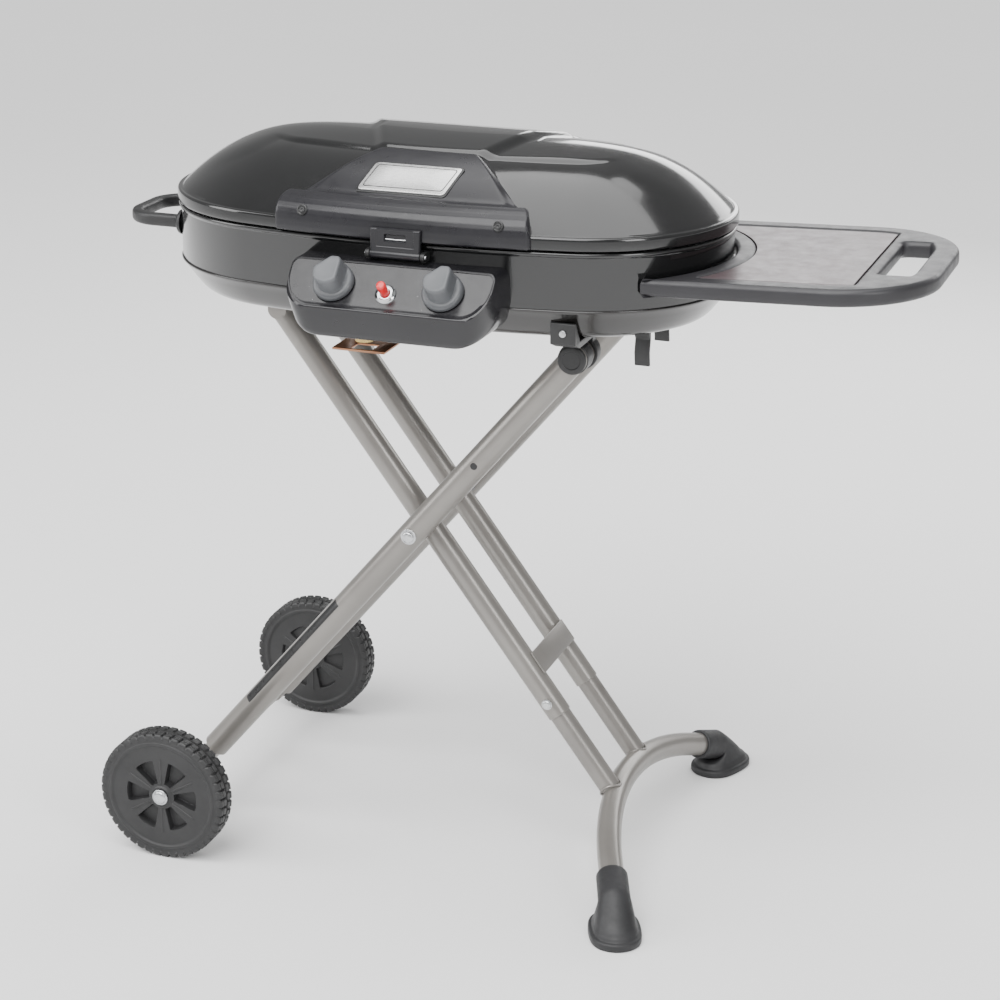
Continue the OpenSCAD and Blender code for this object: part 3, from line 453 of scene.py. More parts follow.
# ---- lid
def lid_mesh():
    rings = []
    # underside of the rim, its rolled edge, the groove and the foot of the shoulder
    for d, z in ((-0.6, 791.6), (-1.2, 790.6), (-2.2, 790.05), (-3.2, 790.3), (-3.9, 791.2), (-4.0, 793),
                 (-4.0, 801), (-3.8, 803.2), (-3.0, 804.6), (-1.8, 805.2), (-0.6, 805.0), (0.6, 804.8),
                 (1.8, 805.2), (2.6, 806.0)):
        rings.append(oval_ring(d, z, OVAL))
    insets = np.concatenate([np.linspace(3.4, 14, 7), np.linspace(16, 60, 24), np.linspace(62, 172, 66)])
    for d in insets:
        p = oval(d, OVAL)
        rings.append(np.column_stack([p, dome(p[:, 0], p[:, 1])]))
    outer = loft(rings, False, False)
    # the crown is closed across its narrow spine
    last = (len(rings) - 1) * len(OVAL)
    half = len(OVAL) // 2
    points, faces = outer
    for i in range(1, half):
        j = (2 * half - i) % (2 * half)
        if i == half - 1:
            faces.append((last + i, last + i + 1, last + j))
        elif i == 1:
            faces.append((last + 0, last + 1, last + j))
            faces.append((last + 1, last + 2, last + j - 1, last + j))
        else:
            faces.append((last + i, last + i + 1, last + j - 1, last + j))
    # the inside skin, seen with the lid open
    inner = [oval_ring(-0.6, 791.6, OVAL), oval_ring(0.0, 793, OVAL), oval_ring(0.0, 800, OVAL),
             oval_ring(3.5, 802.5, OVAL)]
    for d in list(np.linspace(8, 60, 14)) + list(np.linspace(66, 172, 22)):
        p = oval(d, OVAL)
        inner.append(np.column_stack([p, dome(p[:, 0], p[:, 1]) - 2.2]))
    ipoints, ifaces = loft(inner, False, False)
    ilast = (len(inner) - 1) * len(OVAL)
    for i in range(2, half - 1):
        j = (2 * half - i) % (2 * half)
        ifaces.append((ilast + i, ilast + i + 1, ilast + j - 1, ilast + j))
    return join([(points, faces), (ipoints, ifaces)])


make("lid", *lid_mesh(), "lid", ENAMEL, ["lid_shell"], "black_enamel", sharp=50)

# ---- front trim: a band on the rim and a plate that climbs to the waist ----
TRIM_D = np.array([-5.0, -9.5, -11.3, -11.6, -11.4, -10.6, -8.6, -4.6, 1.5, 8.0, 14.0, 20, 27,
                   36, 48, 60, 72, 84, 94, 101.5, 105])
TRIM_Z = np.array([790.6, 790.7, 792.2, 797, 804, 811.5, 817.5, 822.8, 827.2, 829.9, 831.8])
BASE_D = np.array([-3.9, -3.9, -3.9, -3.9, -3.9, -3.6, -2, 1, 5, 10, 14.5])
TRIM_HALF = np.array([150, 152, 153, 153, 153, 153, 152.6, 152, 151, 149.5, 147.5, 142,
                      134, 125, 114, 103, 92, 81, 72, 66, 63])
TRIM_OFF = 3.8


def trim_mesh():
    cols = 150
    u = np.linspace(-1, 1, cols)
    edge_u = np.concatenate([[-1, -1], u, [1, 1]])
    rings_out = []
    n = len(TRIM_D)
    dense = np.linspace(0, n - 1, 96)
    idx = np.arange(n)
    for t in dense:
        d = np.interp(t, idx, TRIM_D)
        hw = np.interp(t, idx, TRIM_HALF)
        base_d = np.interp(t, np.arange(len(BASE_D)), BASE_D) if t < len(BASE_D) - 1 else d
        share = max(0.0, min(1.0, 1 - t / (n - 1)))
        x = FRONT_X * share + edge_u * hw
        y = front_y(x) + d
        yb = front_y(x) + base_d
        lid_z = dome(x, np.maximum(yb, front_y(x) + 2))
        over = lid_z + TRIM_OFF
        if t <= len(TRIM_Z) - 1:
            z = np.full(len(x), np.interp(t, np.arange(len(TRIM_Z)), TRIM_Z))
        else:
            # the fold's height fades into the plate's even thickness
            k = smooth(np.full(len(x), (t - len(TRIM_Z) + 1) / 3.0))
            straight = 831.8 + (d - 14) * 0.62
            z = np.where(k < 1, (1 - k) * np.maximum(straight, over) + k * over, over)
        ground = np.where(base_d < 0, np.minimum(z, 803.5), lid_z + 0.3)
        # rounded shoulders along the outline
        to_side = (1 - np.abs(edge_u)) * hw
        to_end = min((n - 1 - t) * 4.0, 99)
        reach = np.minimum(to_side, to_end)
        r = 3.2
        f = np.sqrt(np.clip(1 - (1 - np.clip(reach / r, 0, 1)) ** 2, 0, 1))
        f[0] = f[-1] = 0
        rings_out.append(np.stack([x, yb + (y - yb) * f, ground + (z - ground) * f], 1))
    points = np.concatenate(rings_out)
    return points, grid_faces(len(rings_out), len(edge_u), wrap_cols=False)


make("lid_front_trim", *trim_mesh(), "lid", TRIM, ["lid_trim"], "black_plastic", sharp=60)

SCREW_Z = 816.0
screw_parts, well_parts = [], []
for s in (-1, 1):
    x = FRONT_X + s * 117
    y = float(front_y(x)) - 9.0
    tilt = np.array([0, -0.93, 0.36])
    origin = np.array([x, y - 0.5, SCREW_Z])
    well_parts.append(turned([(0.3, 0.5), (0.45, 3.6), (1.2, 4.6), (1.5, 5.2), (1.2, 6.0), (0, 6.4)], origin, tilt, 40))
    screw_parts.append(turned([(0.2, 3.3), (0.9, 3.0), (1.1, 2.2), (0.6, 1.2), (0.4, 0.2)], origin, tilt, 32))
make("trim_screw_wells", *join(well_parts), "lid", LABEL_AND_HOLE_SHADE, [], "black_plastic")
make("trim_screw_heads", *join(screw_parts), "lid", BLACK, ["trim_screws"], "bright_steel")


def slab(outline, thickness, place, rim=1.0, steps=4):
    """A flat plate with rounded edges: outline in (u, v) millimetres, counter-clockwise."""
    outline = np.asarray(outline, dtype=float)
    centre = outline.mean(axis=0)
    nxt, prv = np.roll(outline, -1, 0), np.roll(outline, 1, 0)
    tangent = nxt - prv
    normal = np.stack([tangent[:, 1], -tangent[:, 0]], 1)
    normal /= np.maximum(np.linalg.norm(normal, axis=1), 1e-9)[:, None]
    rings = [np.column_stack([outline, np.zeros(len(outline))])]
    for k in range(steps + 1):
        a = math.pi / 2 * k / steps
        rings.append(np.column_stack([outline - normal * rim * (1 - math.cos(a)),
                                      np.full(len(outline), thickness - rim + rim * math.sin(a))]))
    rings.append(np.column_stack([centre + (rings[-1][:, :2] - centre) * 0.5, np.full(len(outline), thickness)]))
    points, faces = loft(rings, True, True)
    return [place(p) for p in points], faces


def lean_outline(w, h, lean, r, n=8):
    """A parallelogram with rounded corners."""
    corners = [(-w / 2 - lean / 2, -h / 2), (w / 2 - lean / 2, -h / 2),
               (w / 2 + lean / 2, h / 2), (-w / 2 + lean / 2, h / 2)]
    out = []
    for i, c in enumerate(corners):
        c = np.array(c)
        a = np.array(corners[i - 1]) - c
        b = np.array(corners[(i + 1) % 4]) - c
        a, b = a / np.linalg.norm(a), b / np.linalg.norm(b)
        for k in range(n):
            t = k / (n - 1)
            out.append(c + a * r * (1 - t) ** 2 + b * r * t ** 2)
    return np.array(out)


PLATE_X, PLATE_Y = -3.5, -136.0


def plate_place(lift):
    def place(p):
        x, y = PLATE_X + p[0], PLATE_Y + p[1] * 0.86
        return np.array([x, y, float(dome(x * 0.6 + PLATE_X * 0.4, y)) + TRIM_OFF + lift + p[2]])
    return place


make("nameplate_border", *slab(lean_outline(110, 47, 12, 7), 1.4, plate_place(-0.2), 0.7), "lid", LABEL_AND_HOLE_SHADE, [],
     "black_plastic")
make("nameplate_plate", *slab(lean_outline(105, 42, 11, 5.5), 1.3, plate_place(0.7), 0.5), "lid", PLATE,
     ["nameplate"], "nameplate_metal")
ring_out = lean_outline(97, 34, 9.5, 4)
ring_in = lean_outline(95, 32.2, 9.2, 3.5)
line_rings = [np.column_stack([edge, np.full(len(edge), height)]) for edge, height in
              ((ring_out, 1.28), (ring_out, 1.42), (ring_in, 1.42), (ring_in, 1.28))]
lp, lf = loft(line_rings, False, False)
make("nameplate_line", [plate_place(0.7)(p) for p in lp], lf, "lid", LABEL_AND_HOLE_SHADE, [], "black_plastic")

# ---- firebox
wall = [(2.0, 722), (0.6, 720.4), (0, 721.5), (0, 780.5), (-0.4, 781.8), (-1.6, 782.6), (-2.6, 783.6), (-3.0, 785),
        (-2.8, 786.6), (-2.0, 787.6), (-0.6, 788), (0.8, 788), (1.7, 787.6), (2.0, 786.6), (2.0, 722)]
make("firebox_wall_skin", *loft([oval_ring(d, z, OVAL) for d, z in wall], False, False), "grill_body", ENAMEL,
     ["firebox_wall"], "black_enamel", sharp=50)
pan = [(0.2, 722), (-0.9, 721.6), (-1.3, 720.6), (-0.9, 719.4), (1.2, 717.4), (7, 709.5), (14, 700), (20, 692.4),
       (24, 688.2), (28, 685.4), (33, 683.7), (40, 683.1), (60, 683), (120, 683), (172, 683)]
pan_in = [(0.2, 722), (2.0, 722), (2.2, 719), (9, 709.5), (16, 700), (26, 689), (35, 685.6), (60, 685), (172, 685)]
pan_points, pan_faces = loft([oval_ring(d, z, OVAL) for d, z in pan], False, True)
in_points, in_faces = loft([oval_ring(d, z, OVAL) for d, z in pan_in], False, True)
make("bottom_pan_skin", *join([(pan_points, pan_faces), (in_points, in_faces)]), "grill_body", PAN_ENAMEL,
     ["bottom_pan"], "black_enamel", sharp=50)

# ---- control panel
FACE_TOP, FACE_LOW = (-214.0, 768.0), (-257.0, 721.5)
FACE_TILT = math.atan2(FACE_TOP[0] - FACE_LOW[0], FACE_TOP[1] - FACE_LOW[1])
KNOB_Z, KNOB_HALF = 746.0, 65.0
PANEL_X = FRONT_X + 3
OUT = np.array([0, -math.cos(FACE_TILT), math.sin(FACE_TILT)])
UP = np.array([0, math.sin(FACE_TILT), math.cos(FACE_TILT)])


def face_y(z):
    return FACE_TOP[0] - (FACE_TOP[1] - z) * math.tan(FACE_TILT)


def panel_ring(grow, z0, z1, low, high, depth, low_y, side_back):
    """One ring of the housing: grow outwards, set back by depth, bottom at low_y, sides swept back."""
    left, right = -114 - grow * 0.3, 129 + grow * 0.5
    out = rounded_outline(left, right, z0, z1, low, high, 16)
    ring = []
    for x, z in out:
        zz = min(max(z, FACE_LOW[1]), FACE_TOP[1])
        y = face_y(zz) + depth
        below = smooth(np.array((z0 + low * 0.9 - z) / (low * 0.9)))
        side = smooth(np.array((abs(x - 6) - (right - left) / 2 + 34) / 30))
        y = y * (1 - below) + (low_y if low_y is not None else y) * below
        y += side_back * float(side) * (1 - 0.55 * float(below))
        ring.append((x, y, z))
    return np.array(ring)


panel_rings = [
    panel_ring(-40, 738, 752, 6, 4, 1.0, None, 0), panel_ring(-12, 727, 762, 26, 5, 1.0, None, 0),
    panel_ring(-5.5, 724.5, 765.3, 30, 7, 1.0, None, 0), panel_ring(-4.6, 724, 765.8, 31, 7.4, 0.3, None, 0),
    panel_ring(-3.6, 723.4, 766.3, 31.5, 7.8, -0.3, None, 0), panel_ring(-1.8, 722.6, 767.2, 32, 8.5, -0.3, None, 0),
    panel_ring(-0.4, 721.6, 767.8, 32, 9, 0.2, None, 0), panel_ring(0.4, 720.0, 767.8, 34, 9.5, 1.8, -256.2, 1),
    panel_ring(1.2, 716.0, 767.8, 36, 10, 4.5, -255.6, 3), panel_ring(3.2, 706, 767.8, 40, 10, 11, -253.8, 8),
    panel_ring(5.5, 694, 767.8, 44, 10, 18, -251.2, 14), panel_ring(6.6, 689, 767.8, 45, 10, 21, -249.4, 17),
    panel_ring(7.2, 687, 767.8, 45, 10, 23, -246.5, 19), panel_ring(8.2, 686.2, 767.8, 45, 10, 25, -240, 23),
    panel_ring(9, 686.2, 767.8, 45, 10, 27, -206, 34), panel_ring(10, 686.2, 767.8, 45, 10, 29, -172, 40),
    panel_ring(9, 690, 766, 45, 10, 31, -168, 42)]
make("control_panel_housing", *loft(panel_rings, True, False), "grill_body", PANEL, ["control_panel"],
     "black_plastic", sharp=46)


def on_face(x, z, lift):
    return np.array([x, face_y(z), z]) + OUT * lift


dot_parts = []
for side, columns in ((-1, range(7)), (1, range(9))):
    for i in columns:
        for j in range(5):
            x = PANEL_X + side * (109 - i * 3.1 - (j % 2) * 1.55)
            z = 762.5 - j * 2.5
            if side < 0 and i > 6 - j * 0.2:
                continue
            dot_parts.append(turned([(0, 0.8), (0.22, 0.65), (0.3, 0.2)], on_face(x, z, -1.05), OUT, 8))
    for j in range(5, 12):
        for i in range(3):
            x = PANEL_X + side * (109.5 - i * 3.1 - (j % 2) * 1.55)
            z = 762.5 - j * 2.5
            dot_parts.append(turned([(0, 0.7), (0.2, 0.55), (0.25, 0.2)], on_face(x, z, -1.05), OUT, 8))
make("panel_dots", *join(dot_parts), "grill_body", DOTS, [], "black_plastic")
mark_parts = []
for s in (-1, 1):
    cx = PANEL_X + s * KNOB_HALF
    for dx, dz in ((-28.5, -5), (-20, -17)):
        mark_parts.append(turned([(0, 1.7), (0.2, 1.6), (0.3, 0.8), (0.32, 0.1)],
                                 on_face(cx + dx, KNOB_Z + dz, -1.05), OUT, 20))
make("panel_marks", *join(mark_parts), "grill_body", MARK, [], "nameplate_metal")


def knob_mesh(s):
    centre = on_face(PANEL_X + s * KNOB_HALF, KNOB_Z, 0)
    skirt = turned([(0.6, 23.6), (0.9, 24.0), (3.5, 23.9), (5.6, 23.2), (7.0, 22.0), (7.8, 20.4), (8.1, 17.5), (8.2, 8)],
                   centre, OUT, 96)
    ex = np.array([1.0, 0, 0])
    grip_rings = []
    angles = np.linspace(0, 2 * math.pi, 120, endpoint=False)

    def outline(scale):
        # round below, a straight side on the right and a slope up to its point
        out = []
        corners = ((14.0, -9.0), (14.0, 15.0), (11.0, 20.0), (1.0, 20.0), (-16.5, 4.0))
        for a in angles:
            c, sn = math.cos(a), math.sin(a)
            r = 17.0
            for (x0, y0), (x1, y1) in zip(corners, corners[1:]):
                det = c * (y0 - y1) - sn * (x0 - x1)
                t = (c * y0 - sn * x0) / det if abs(det) > 1e-9 else -1
                if 0 <= t <= 1:
                    far = (x0 + (x1 - x0) * t) * c + (y0 + (y1 - y0) * t) * sn
                    if far > 0:
                        r = far
            r = min(r, 14.0 / c) if c > 0.3 else r
            out.append((r * c * scale, r * sn * scale))
        out = np.array(out)
        for _ in range(2):
            out = (out + np.roll(out, 1, 0) + np.roll(out, -1, 0)) / 3
        return out
    for h, k in ((7.6, 1.06), (8.6, 1.03), (10.5, 1.005), (16, 0.985), (24, 0.965), (27.2, 0.95), (28.8, 0.92),
                 (29.6, 0.87), (29.95, 0.8), (29.7, 0.66), (29.5, 0.4)):
        o = outline(k)
        grip_rings.append(centre + OUT * h + np.outer(o[:, 0], ex) + np.outer(o[:, 1], UP))
    return skirt, loft(grip_rings, False, True)


for side, name in ((-1, "left"), (1, "right")):
    skirt, grip = knob_mesh(side)
    make("knob_skirt_" + name, *skirt, name + "_knob", SKIRT, [], "knob_grey")
    make("knob_grip_" + name, *grip, name + "_knob", KNOB, ["knob_" + name], "knob_grey", sharp=60)

BUTTON_X, BUTTON_Z = PANEL_X - 1, KNOB_Z - 6
centre = on_face(BUTTON_X, BUTTON_Z, 0)
make("igniter_collar_ring", *turned([(-0.8, 5.7), (3.4, 5.7), (3.9, 6.1), (4.05, 7.0), (3.9, 8.6), (3.2, 9.6), (2.2, 10.1),
                                     (1.4, 11.3), (0.6, 12.1), (-0.8, 12.4)], centre, OUT, 72, False),
     "grill_body", CHROME, ["igniter_collar"], "chrome")
make("igniter_button_cap", *turned([(-2, 5.4), (17.5, 5.35), (20.0, 5.2), (21.2, 4.7), (21.85, 3.8), (21.95, 2.2), (21.9, 0.6)],
                                   centre, OUT, 64), "igniter_button", RED, ["igniter_button"], "red_button")

# ---- latch
LATCH_Y, LATCH_Z, LATCH_W = -204.0, 776.0, 60.0


def latch_mesh():
    """The latch plate: a shallow cup around a finger slot, as a grid of depths."""
    us = np.linspace(-LATCH_W / 2, LATCH_W / 2, 97)
    vs = np.linspace(771.5, 806, 58)
    rows = []
    for z in vs:
        row = []
        for x in us:
            edge = min(LATCH_W / 2 - abs(x), 806 - z, z - 771.5)
            r = 2.2
            f = math.sqrt(max(0.0, 1 - (1 - min(edge / r, 1)) ** 2))
            front = -3.0 * f
            # the finger slot near the top and the shallow step around it
            slot = smooth(np.array((13.5 - abs(x)) / 1.6)) * smooth(np.array((4.2 - abs(z - 795.5)) / 1.4))
            step = smooth(np.array((23 - abs(x)) / 1.4)) * smooth(np.array((10.5 - abs(z - 795)) / 1.4))
            front += 0.9 * float(step) + 3.4 * float(slot)
            row.append((FRONT_X + x, LATCH_Y + front, z))
        rows.append(row)
    front = np.array(rows)
    back = front.copy()
    back[:, :, 1] = LATCH_Y + 2.0
    n, m = len(vs), len(us)
    points = np.concatenate([front.reshape(-1, 3), back.reshape(-1, 3)])
    faces = grid_faces(n, m, False) + [tuple(i + n * m for i in f) for f in grid_faces(n, m, False)]
    rim = [r * m for r in range(n)] + [(n - 1) * m + c for c in range(1, m)]
    rim += [r * m + m - 1 for r in range(n - 2, -1, -1)] + [c for c in range(m - 2, 0, -1)]
    faces += [(a, b, b + n * m, a + n * m) for a, b in zip(rim, rim[1:] + rim[:1])]
    return points, faces


barrel = turned([(0, 4.2), (0.5, 4.9), (1.2, 5.0), (58.8, 5.0), (59.5, 4.9), (60, 4.2)],
                (FRONT_X - 30, LATCH_Y, LATCH_Z), (1, 0, 0), 40)
make("latch_plate", *join([latch_mesh(), barrel]), "latch", TRIM, ["latch"], "black_plastic", sharp=40)
make("latch_catch_wire", *swept([(FRONT_X - 12.0, LATCH_Y + 0.6, 793.6), (FRONT_X, LATCH_Y + 0.4, 793.4),
                                 (FRONT_X + 12.0, LATCH_Y + 0.6, 793.6)], round_section(0.9, 14)),
     "latch", CHROME, [], "chrome")
pin_ends = []
for s in (-1, 1):
    pin_ends.append(turned([(0, 2.5), (35.6, 2.5), (36.6, 2.1), (37.0, 1.0)], (FRONT_X, LATCH_Y, LATCH_Z), (s, 0, 0), 28))
make("latch_pin_rod", *join(pin_ends), "grill_body", ZINC, ["latch_pin"], "bright_steel")

# ---- carry handle
REACH, ARM, BEND, BAR = 411.0, 65.0, 44.0, 16.0


def arc(cx, cy, r, a0, a1, n):
    a = np.radians(np.linspace(a0, a1, n))
    return np.stack([cx + r * np.cos(a), cy + r * np.sin(a)], 1)


mid_r = BEND - BAR / 2
handle = np.concatenate([
    [(-326.0, ARM - 8), (-340, ARM - 8), (-352, ARM - 8)],
    arc(-REACH + BEND, ARM - BEND, mid_r, 90, 180, 16),
    [(-REACH + 8, 8.0), (-REACH + 8, -8.0)],
    arc(-REACH + BEND, -(ARM - BEND), mid_r, 180, 270, 16),
    [(-352, -ARM + 8), (-340, -ARM + 8), (-326.0, -ARM + 8)]])
handle_path = np.column_stack([handle, np.full(len(handle), 756.0)])
parts = [swept(handle_path, soft_section(15.6, 14.4, 56, 3.2))]
for s in (-1, 1):
    parts.append(turned([(0, 15.5), (2.5, 15.4), (4.5, 14.2), (6.5, 11.4), (8, 9.2)],
                        (-327, s * (ARM - 8), 756), (-1, 0, 0), 56))
make("carry_handle_loop", *join(parts), "grill_body", BLACK, ["carry_handle"], "black_plastic", sharp=50)

# ---- side table
TABLE_Z, TABLE_T, TABLE_Y, TABLE_HALF, CORNER = 757.0, 20.0, 24.0, 166.0, 115.0
TABLE_START, TABLE_TILT = 262.0, math.radians(2)
TABLE_TIP = TABLE_START + (588 - TABLE_START - TABLE_T * math.sin(TABLE_TILT)) / math.cos(TABLE_TILT)
TABLE_C, CORNER_Y = TABLE_TIP - CORNER, TABLE_HALF - CORNER


def table_outline(inset, near=2.4, stop=999.0):
    """The table's plan, set in all round; it hugs the firebox and may stop short of the tip."""
    r, rr = CORNER - inset, END_R + near
    low, high = TABLE_Y - TABLE_HALF + inset, TABLE_Y + TABLE_HALF - inset
    turn = math.degrees(math.acos(min(max((stop - TABLE_C) / r, 0), 1)))
    tip = np.concatenate([arc(TABLE_C, TABLE_Y - CORNER_Y, r, -90, -turn, 36),
                          arc(TABLE_C, TABLE_Y + CORNER_Y, r, turn, 90, 36)])
    low_angle = math.degrees(math.asin(low / rr))
    start = TABLE_START - 0.5
    high_angle = math.degrees(math.asin(min(high / rr, 0.999)))
    if END_C + rr * math.cos(math.radians(high_angle)) > start:
        return np.concatenate([tip, arc(END_C, 0, rr, high_angle, low_angle, 40)])
    high_angle = math.degrees(math.acos((start - END_C) / rr))
    return np.concatenate([tip, [(start, high)], arc(END_C, 0, rr, high_angle, low_angle, 40)])


def flat_piece(name, outlines, z_low, z_high, rounding, body, material, replaces, slot):
    """A flat piece with holes and rounded edges, from closed outlines in plan."""
    curve = bpy.data.curves.new(name, "CURVE")
    curve.dimensions = "2D"
    curve.fill_mode = "BOTH"
    curve.extrude = (z_high - z_low) / 2000 - rounding / 1000
    curve.bevel_depth = rounding / 1000
    curve.bevel_resolution = 5
    curve.offset = -rounding / 1000
    for outline in outlines:
        spline = curve.splines.new("POLY")
        pts = metres(np.column_stack([outline, np.zeros(len(outline))]))
        spline.points.add(len(pts) - 1)
        for point, co in zip(spline.points, pts):
            point.co = (*co, 1)
        spline.use_cyclic_u = True
    carrier = bpy.data.objects.new(name + "_curve", curve)
    bpy.context.scene.collection.objects.link(carrier)
    mesh = bpy.data.meshes.new_from_object(carrier.evaluated_get(bpy.context.evaluated_depsgraph_get()))
    bpy.data.objects.remove(carrier)
    hinge = Vector(((TABLE_START + SHIFT) / 1000, 0, TABLE_Z / 1000))
    mesh.transform(Matrix.Translation(hinge) @ Matrix.Rotation(-TABLE_TILT, 4, "Y")
                   @ Matrix.Translation(Vector((0, 0, (z_low + z_high) / 2000)) - hinge))
    mesh.name = name
    bm = bmesh.new()
    bm.from_mesh(mesh)
    bmesh.ops.remove_doubles(bm, verts=bm.verts, dist=1e-6)
    bmesh.ops.recalc_face_normals(bm, faces=bm.faces)
    bm.to_mesh(mesh)
    bm.free()
    for poly in mesh.polygons:
        poly.use_smooth = True
    mesh.set_sharp_from_angle(angle=math.radians(28))
    mesh.materials.clear()
    mesh.materials.append(material)
    show(name, mesh, body, replaces, slot)


def rounded_poly(points, radius, n=8):
    """A closed outline with its corners rounded."""
    points = [np.array(p, dtype=float) for p in points]
    out = []
    for i, c in enumerate(points):
        a = points[i - 1] - c
        b = points[(i + 1) % len(points)] - c
        la, lb = np.linalg.norm(a), np.linalg.norm(b)
        r = min(radius, la * 0.45, lb * 0.45)
        cosine = np.dot(a, b) / (la * lb)
        if cosine < -0.97:
            out.append(c)
            continue
        p, q = c + a / la * r, c + b / lb * r
        for t in np.linspace(0, 1, n):
            out.append(p * (1 - t) ** 2 + 2 * c * t * (1 - t) + q * t ** 2)
    return np.array(out)


panel_hole = table_outline(30, 26, 503.0)
low_turn = math.degrees(math.asin(25 / (CORNER - 30)))
high_turn = math.degrees(math.asin(37 / (CORNER - 30)))
slot_hole = np.concatenate([
    [(518, -52)], arc(TABLE_C, TABLE_Y - CORNER_Y, CORNER - 30, -low_turn, 0, 12),
    arc(TABLE_C, TABLE_Y + CORNER_Y, CORNER - 30, 0, high_turn, 12), [(518, 112)]])
flat_piece("table_rim", [rounded_poly(table_outline(0), 9), rounded_poly(panel_hole[::-1], 10),
                         rounded_poly(slot_hole[::-1], 9)],
           TABLE_Z - TABLE_T, TABLE_Z, 6.5, "grill_body", TABLE_RIM_MAT, ["table_frame"], "black_plastic")
flat_piece("table_web", [rounded_poly(table_outline(22, 4, 510.0), 9)], TABLE_Z - 9, TABLE_Z - 5, 0.6,
           "grill_body", TABLE_RIM_MAT, [], "black_plastic")
flat_piece("table_top_panel", [rounded_poly(panel_hole, 9)], TABLE_Z - 6, TABLE_Z - 1.2, 0.7,
           "grill_body", TABLE, ["table_panel"], "table_brown")

# ---- folding frame
TOP = np.array([188.0, 651.0])
AXLE = np.array([AXLE_X, 82.0])
LEG = (AXLE - TOP) / np.linalg.norm(AXLE - TOP)
LEG_LEN = float(np.linalg.norm(AXLE - TOP))
CROSS_Z = 411.0
CROSS_X = TOP[0] + LEG[0] * (TOP[1] - CROSS_Z) / -LEG[1]
FOOT = np.array([math.sin(math.radians(37)), -math.cos(math.radians(37))])
LEG_Y, FOOT_Y, LEG_R, FOOT_R = 104.4, 55.8, 16.0, 15.0
ARM_LEN = math.hypot(CROSS_X - TOP[0], CROSS_Z - TOP[1])


def on_a(s, y):
    return np.array([TOP[0] + LEG[0] * s, y, TOP[1] + LEG[1] * s])


def on_b(s, y):
    return np.array([CROSS_X + FOOT[0] * s, y, CROSS_Z + FOOT[1] * s])


def tube_between(p, q, r, wall=1.5, segments=64):
    """A tube with rolled ends and a visible wall at each open end."""
    p, q = np.asarray(p, dtype=float), np.asarray(q, dtype=float)
    length = float(np.linalg.norm(q - p))
    profile = [(14, r - wall), (0.5, r - wall), (0.1, r - wall + 0.4), (0, r - wall / 2), (0.1, r - 0.4), (0.6, r), (2, r),
               (length / 2, r), (length - 2, r), (length - 0.6, r), (length - 0.1, r - 0.4), (length, r - wall / 2),
               (length - 0.1, r - wall + 0.4), (length - 0.5, r - wall), (length - 14, r - wall)]
    return turned(profile, p, q - p, segments)


for s, name in ((-1, "front"), (1, "rear")):
    y = s * LEG_Y
    parts = [tube_between(on_a(9, y), on_a(LEG_LEN - 9.5, y), LEG_R)]
    parts.append(turned([(0, 13.5), (0.6, 16.2), (2, 17), (30, 17), (31.4, 16.2), (32, 13.5)],
                        (TOP[0], y - 16, TOP[1]), (0, 1, 0), 64))
    # the welded saddle on the axle tube
    parts.append(turned([(-LEG_R - 1, 10.0), (-LEG_R - 0.4, 11.2), (LEG_R + 0.4, 11.2), (LEG_R + 1, 10.0)],
                        (AXLE[0], y, AXLE[1]), (0, 1, 0), 48))
    make("wheel_leg_tube_" + name, *join(parts), "wheel_frame", TUBE, ["wheel_leg_" + name], "grey_tube", sharp=42)
    # the spare hole of the height stop, drawn as a dark disc: painted shade in place of the hole's dark inside
    hole_shade_discs = [turned([(0, 4.4), (0.25, 4.2), (0.3, 2.6)], on_a(185, y) + np.array([0, s * LEG_R * 0.99, 0]), (0, s, 0), 28)]
    make("wheel_leg_hole_" + name, *join(hole_shade_discs), "wheel_frame", LABEL_AND_HOLE_SHADE, [], "grey_tube")

# a blank label wrapped round the front tube, facing forwards and up
LABEL_START, LABEL_LENGTH, LABEL_SPREAD, LABEL_TURN = 449, 193, 44, math.radians(40)
rows, cols = 60, 22
w = axes_for(np.array([LEG[0], 0, LEG[1]]))[2]
facing = np.array([0, -1, 0]) * math.cos(LABEL_TURN) + np.array([-0.767, 0, 0.642]) * math.sin(LABEL_TURN)
facing -= w * np.dot(facing, w)
facing /= np.linalg.norm(facing)
label = []
for i in range(rows):
    for j in range(cols):
        a = math.radians((j / (cols - 1) - 0.5) * LABEL_SPREAD)
        normal = math.cos(a) * facing + math.sin(a) * np.cross(w, facing)
        rim = min(i, rows - 1 - i, j, cols - 1 - j)
        along = LABEL_START + LABEL_LENGTH * i / (rows - 1)
        label.append(on_a(along, -LEG_Y) + normal * (LEG_R + (0.2 if rim > 0 else -0.1)))
make("leg_label", label, grid_faces(rows, cols, False), "wheel_frame", LABEL_AND_HOLE_SHADE, [], "black_plastic")

# scissor bolts: domed heads on washers, nuts inside
parts = []
for s in (-1, 1):
    out = (0, s, 0)
    y = s * (LEG_Y + LEG_R)
    parts.append(turned([(-0.4, 9.6), (0.9, 9.6), (1.3, 9.2), (1.4, 7.6), (1.5, 7.4), (3.4, 7.2), (4.4, 6.3), (5.0, 4.6),
                         (5.2, 2.2), (5.2, 0.6)], (CROSS_X, y, CROSS_Z), out, 56))
    parts.append(turned([(0, 3.9), (64, 3.9)], (CROSS_X, y, CROSS_Z), (0, -s, 0), 32))
    hexagon = [(CROSS_X + 6.9 * math.cos(a), CROSS_Z + 6.9 * math.sin(a)) for a in np.radians(np.arange(0, 360, 60))]
    y0, y1 = s * (FOOT_Y - FOOT_R - 0.2), s * (FOOT_Y - FOOT_R - 6)
    parts.append(loft([[(x, y0, z) for x, z in hexagon], [(x, y1, z) for x, z in hexagon]]))
make("scissor_bolt_heads", *join(parts), "wheel_frame", ZINC, ["scissor_bolts"], "bright_steel", sharp=40)
parts = on_both_sides([(0, 10.4), (0.5, 11), (16.2, 11), (16.6, 10.4)], CROSS_X, 71.3, CROSS_Z, 48)
